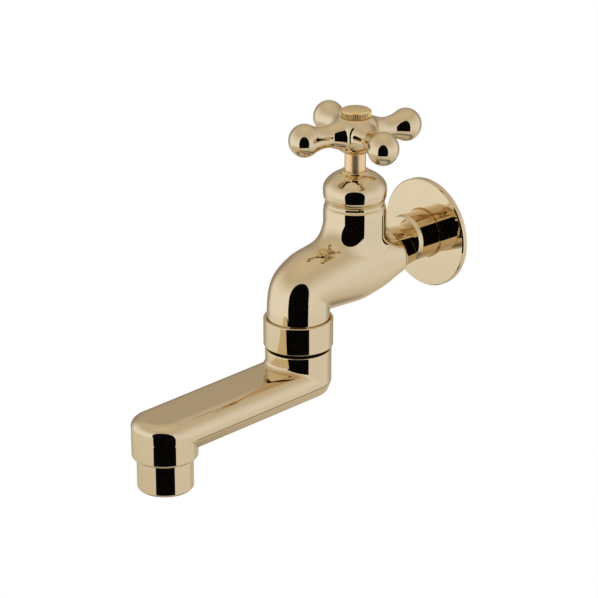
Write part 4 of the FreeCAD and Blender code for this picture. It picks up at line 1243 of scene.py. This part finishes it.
# Where one colour gives way to the next, in degrees.
LEFT_SIDE = (-150, -112)
SEAM = (-25, 25)
RIGHT_SIDE = (108, 148)
LEFT_SILL = (-32, -18)
RIGHT_SILL = (-58, -8)
WINDOW_TOP = (-2, 50)
HORIZON = (-20, 20)
TABLE_START = (55, 75)
CEILING_START = (50, 80)
TABLE_EDGE_LIFT = -60.0
TABLE_EDGE_SPREAD = 7.0
TABLE_EDGE_DARKNESS = 0.75


def rise(value, low, high):
    """0 below, 1 above and a soft step between."""
    return smooth((value - low) / (high - low))[:, None]


def tent_color(azimuth, lift):
    """The tent's colour in a direction: degrees from the camera's own direction, to its right and up."""
    left = rise(azimuth, *LEFT_SIDE) * (1 - rise(azimuth, *SEAM))
    right = rise(azimuth, *SEAM) * (1 - rise(azimuth, *RIGHT_SIDE))
    band = left * LEFT_WINDOW + right * RIGHT_WINDOW + (1 - left - right) * DIM_BACK
    sill = (1 - right) * rise(lift, *LEFT_SILL) + right * rise(lift, *RIGHT_SILL)
    low = CLOTH_BELOW + rise(-lift, *TABLE_START) * (np.array(TABLE_BELOW) - CLOTH_BELOW)
    high = CLOTH_ABOVE + rise(lift, *CEILING_START) * (np.array(CLOTH_OVERHEAD) - CLOTH_ABOVE)
    cloth = low + rise(lift, *HORIZON) * (high - low)
    windowed = sill * (1 - rise(lift, *WINDOW_TOP))
    edge = np.exp(-((lift - TABLE_EDGE_LIFT) / TABLE_EDGE_SPREAD) ** 2)[:, None]
    return (cloth + windowed * (band - cloth)) * (1 - TABLE_EDGE_DARKNESS * edge)


print("level colours every 60 degrees", tent_color(np.arange(-180, 180, 60), np.zeros(6)).round(2).tolist())

# %% [markdown]
# ## The tent
# The cloth glows with the colours kept on its points. It is hidden from the camera and from all but mirror
# reflections, so it changes what the brass shows and nothing else. Its lower half is a shallow bowl,
# because a real table lies nearer than a real ceiling.

# %% Tent
TENT_RADIUS = 1600.0
TENT_DEPTH = 880.0
TENT_STEPS = 120


def tent():
    """A round tent over a shallow bowl, with its colours kept on its points."""
    rows = TENT_STEPS // 2
    azimuths = np.tile(360.0 * np.arange(TENT_STEPS) / TENT_STEPS - 180, rows + 1)
    tilts = np.repeat(math.pi * np.arange(rows + 1) / rows - math.pi / 2, TENT_STEPS)
    turns = CAMERA_TURN - math.pi / 2 + np.radians(azimuths)
    reach = TENT_RADIUS * np.cos(tilts)
    heights = np.sin(tilts) * np.where(tilts > 0, TENT_RADIUS, TENT_DEPTH)
    points = np.stack([reach * np.cos(turns), MIDDLE_Y + reach * np.sin(turns), heights], 1)
    faces = []
    for start in range(0, rows * TENT_STEPS, TENT_STEPS):
        for column in range(TENT_STEPS):
            after = (column + 1) % TENT_STEPS
            above = start + TENT_STEPS
            faces.append((start + column, start + after, above + after, above + column))
    finish = Finish("tent_cloth")
    glow = finish.node("ShaderNodeAttribute", {}, "Color", attribute_name="glow")
    finish.close(finish.node("ShaderNodeEmission", {"Color": glow}))
    made = stage_piece("tent", points, faces, finish.material)
    layer = made.data.color_attributes.new("glow", "FLOAT_COLOR", "POINT")
    colors = tent_color(azimuths, np.degrees(np.arctan2(heights, reach)))
    layer.data.foreach_set("color", np.concatenate([colors, np.ones((len(colors), 1))], 1).reshape(-1))
    only_reflected(made)
    return made


print("tent", len(tent().data.polygons), "faces")

# %% [markdown]
# ## The opening in the tent
# The camera looks in through a dark arched opening, and that is what draws the black strips down the middle
# of each round form. It is bent round the tap, so that its sides stay upright in every reflection, and it
# stands nearer than the tent, so that the strips on the lower pieces are as wide as those on the upper
# ones.

# %% Camera opening
OPENING_DISTANCE = 950.0
OPENING_HALF_ANGLE = 36.5
OPENING_MIDDLE = -0.5
OPENING_BOTTOM = -610.0
OPENING_SPRING = -200.0
OPENING_TOP = 830.0
OPENING_STEPS = 48
NEAR_BLACK = (0.002, 0.002, 0.002, 1)


def camera_opening():
    """The dark arch that the camera looks through: upright sides and half an ellipse above."""
    finish = Finish("dark_opening")
    finish.close(finish.node("ShaderNodeEmission", {"Color": NEAR_BLACK}))
    points = []
    for step in range(OPENING_STEPS + 1):
        share = 2 * step / OPENING_STEPS - 1
        turn = CAMERA_TURN - math.pi / 2 + math.radians(OPENING_MIDDLE + share * OPENING_HALF_ANGLE)
        x, y = OPENING_DISTANCE * math.cos(turn), MIDDLE_Y + OPENING_DISTANCE * math.sin(turn)
        top = OPENING_SPRING + (OPENING_TOP - OPENING_SPRING) * math.sqrt(1 - share ** 2)
        points += [(x, y, OPENING_BOTTOM), (x, y, top)]
    faces = [(2 * i, 2 * i + 2, 2 * i + 3, 2 * i + 1) for i in range(OPENING_STEPS)]
    only_reflected(stage_piece("camera_opening", points, faces, finish.material))


camera_opening()
print("opening", 2 * OPENING_HALF_ANGLE, "degrees wide")

# %% [markdown]
# ## The camera
# The camera's place was worked out from the photograph's ellipses and edges. A long lens far away keeps the
# upright lines nearly parallel, as in the photograph.

# %% Camera
CAMERA_DISTANCE = 1108.65
FOCAL_PIXELS = 2600.0
IMAGE_PIXELS = 598.0
SENSOR = 36.0
AIM_POINT = (0, -70, 0)
AIM_RIGHT = -5.1154
AIM_UP = -12.6884
sin_turn, cos_turn = math.sin(CAMERA_TURN), math.cos(CAMERA_TURN)
sin_lift, cos_lift = math.sin(CAMERA_LIFT), math.cos(CAMERA_LIFT)
RIGHT = np.array([cos_turn, sin_turn, 0])
UP = np.array([-sin_turn * sin_lift, cos_turn * sin_lift, cos_lift])
BACK = np.array([sin_turn * cos_lift, -cos_turn * cos_lift, sin_lift])
AIM = np.array(AIM_POINT) + AIM_RIGHT * RIGHT + AIM_UP * UP
camera_data = bpy.data.cameras.new("camera")
camera_data.sensor_width = SENSOR
camera_data.lens = SENSOR * FOCAL_PIXELS / IMAGE_PIXELS
camera_data.clip_end = 100.0
camera = bpy.data.objects.new("camera", camera_data)
bpy.context.scene.collection.objects.link(camera)
spot = (AIM + CAMERA_DISTANCE * BACK) * MM
camera.matrix_world = Matrix([[RIGHT[i], UP[i], BACK[i], spot[i]] for i in range(3)] + [[0, 0, 0, 1]])
bpy.context.scene.camera = camera
bpy.context.scene.view_settings.view_transform = "Standard"
print("camera at", [round(float(value), 3) for value in spot], "m")
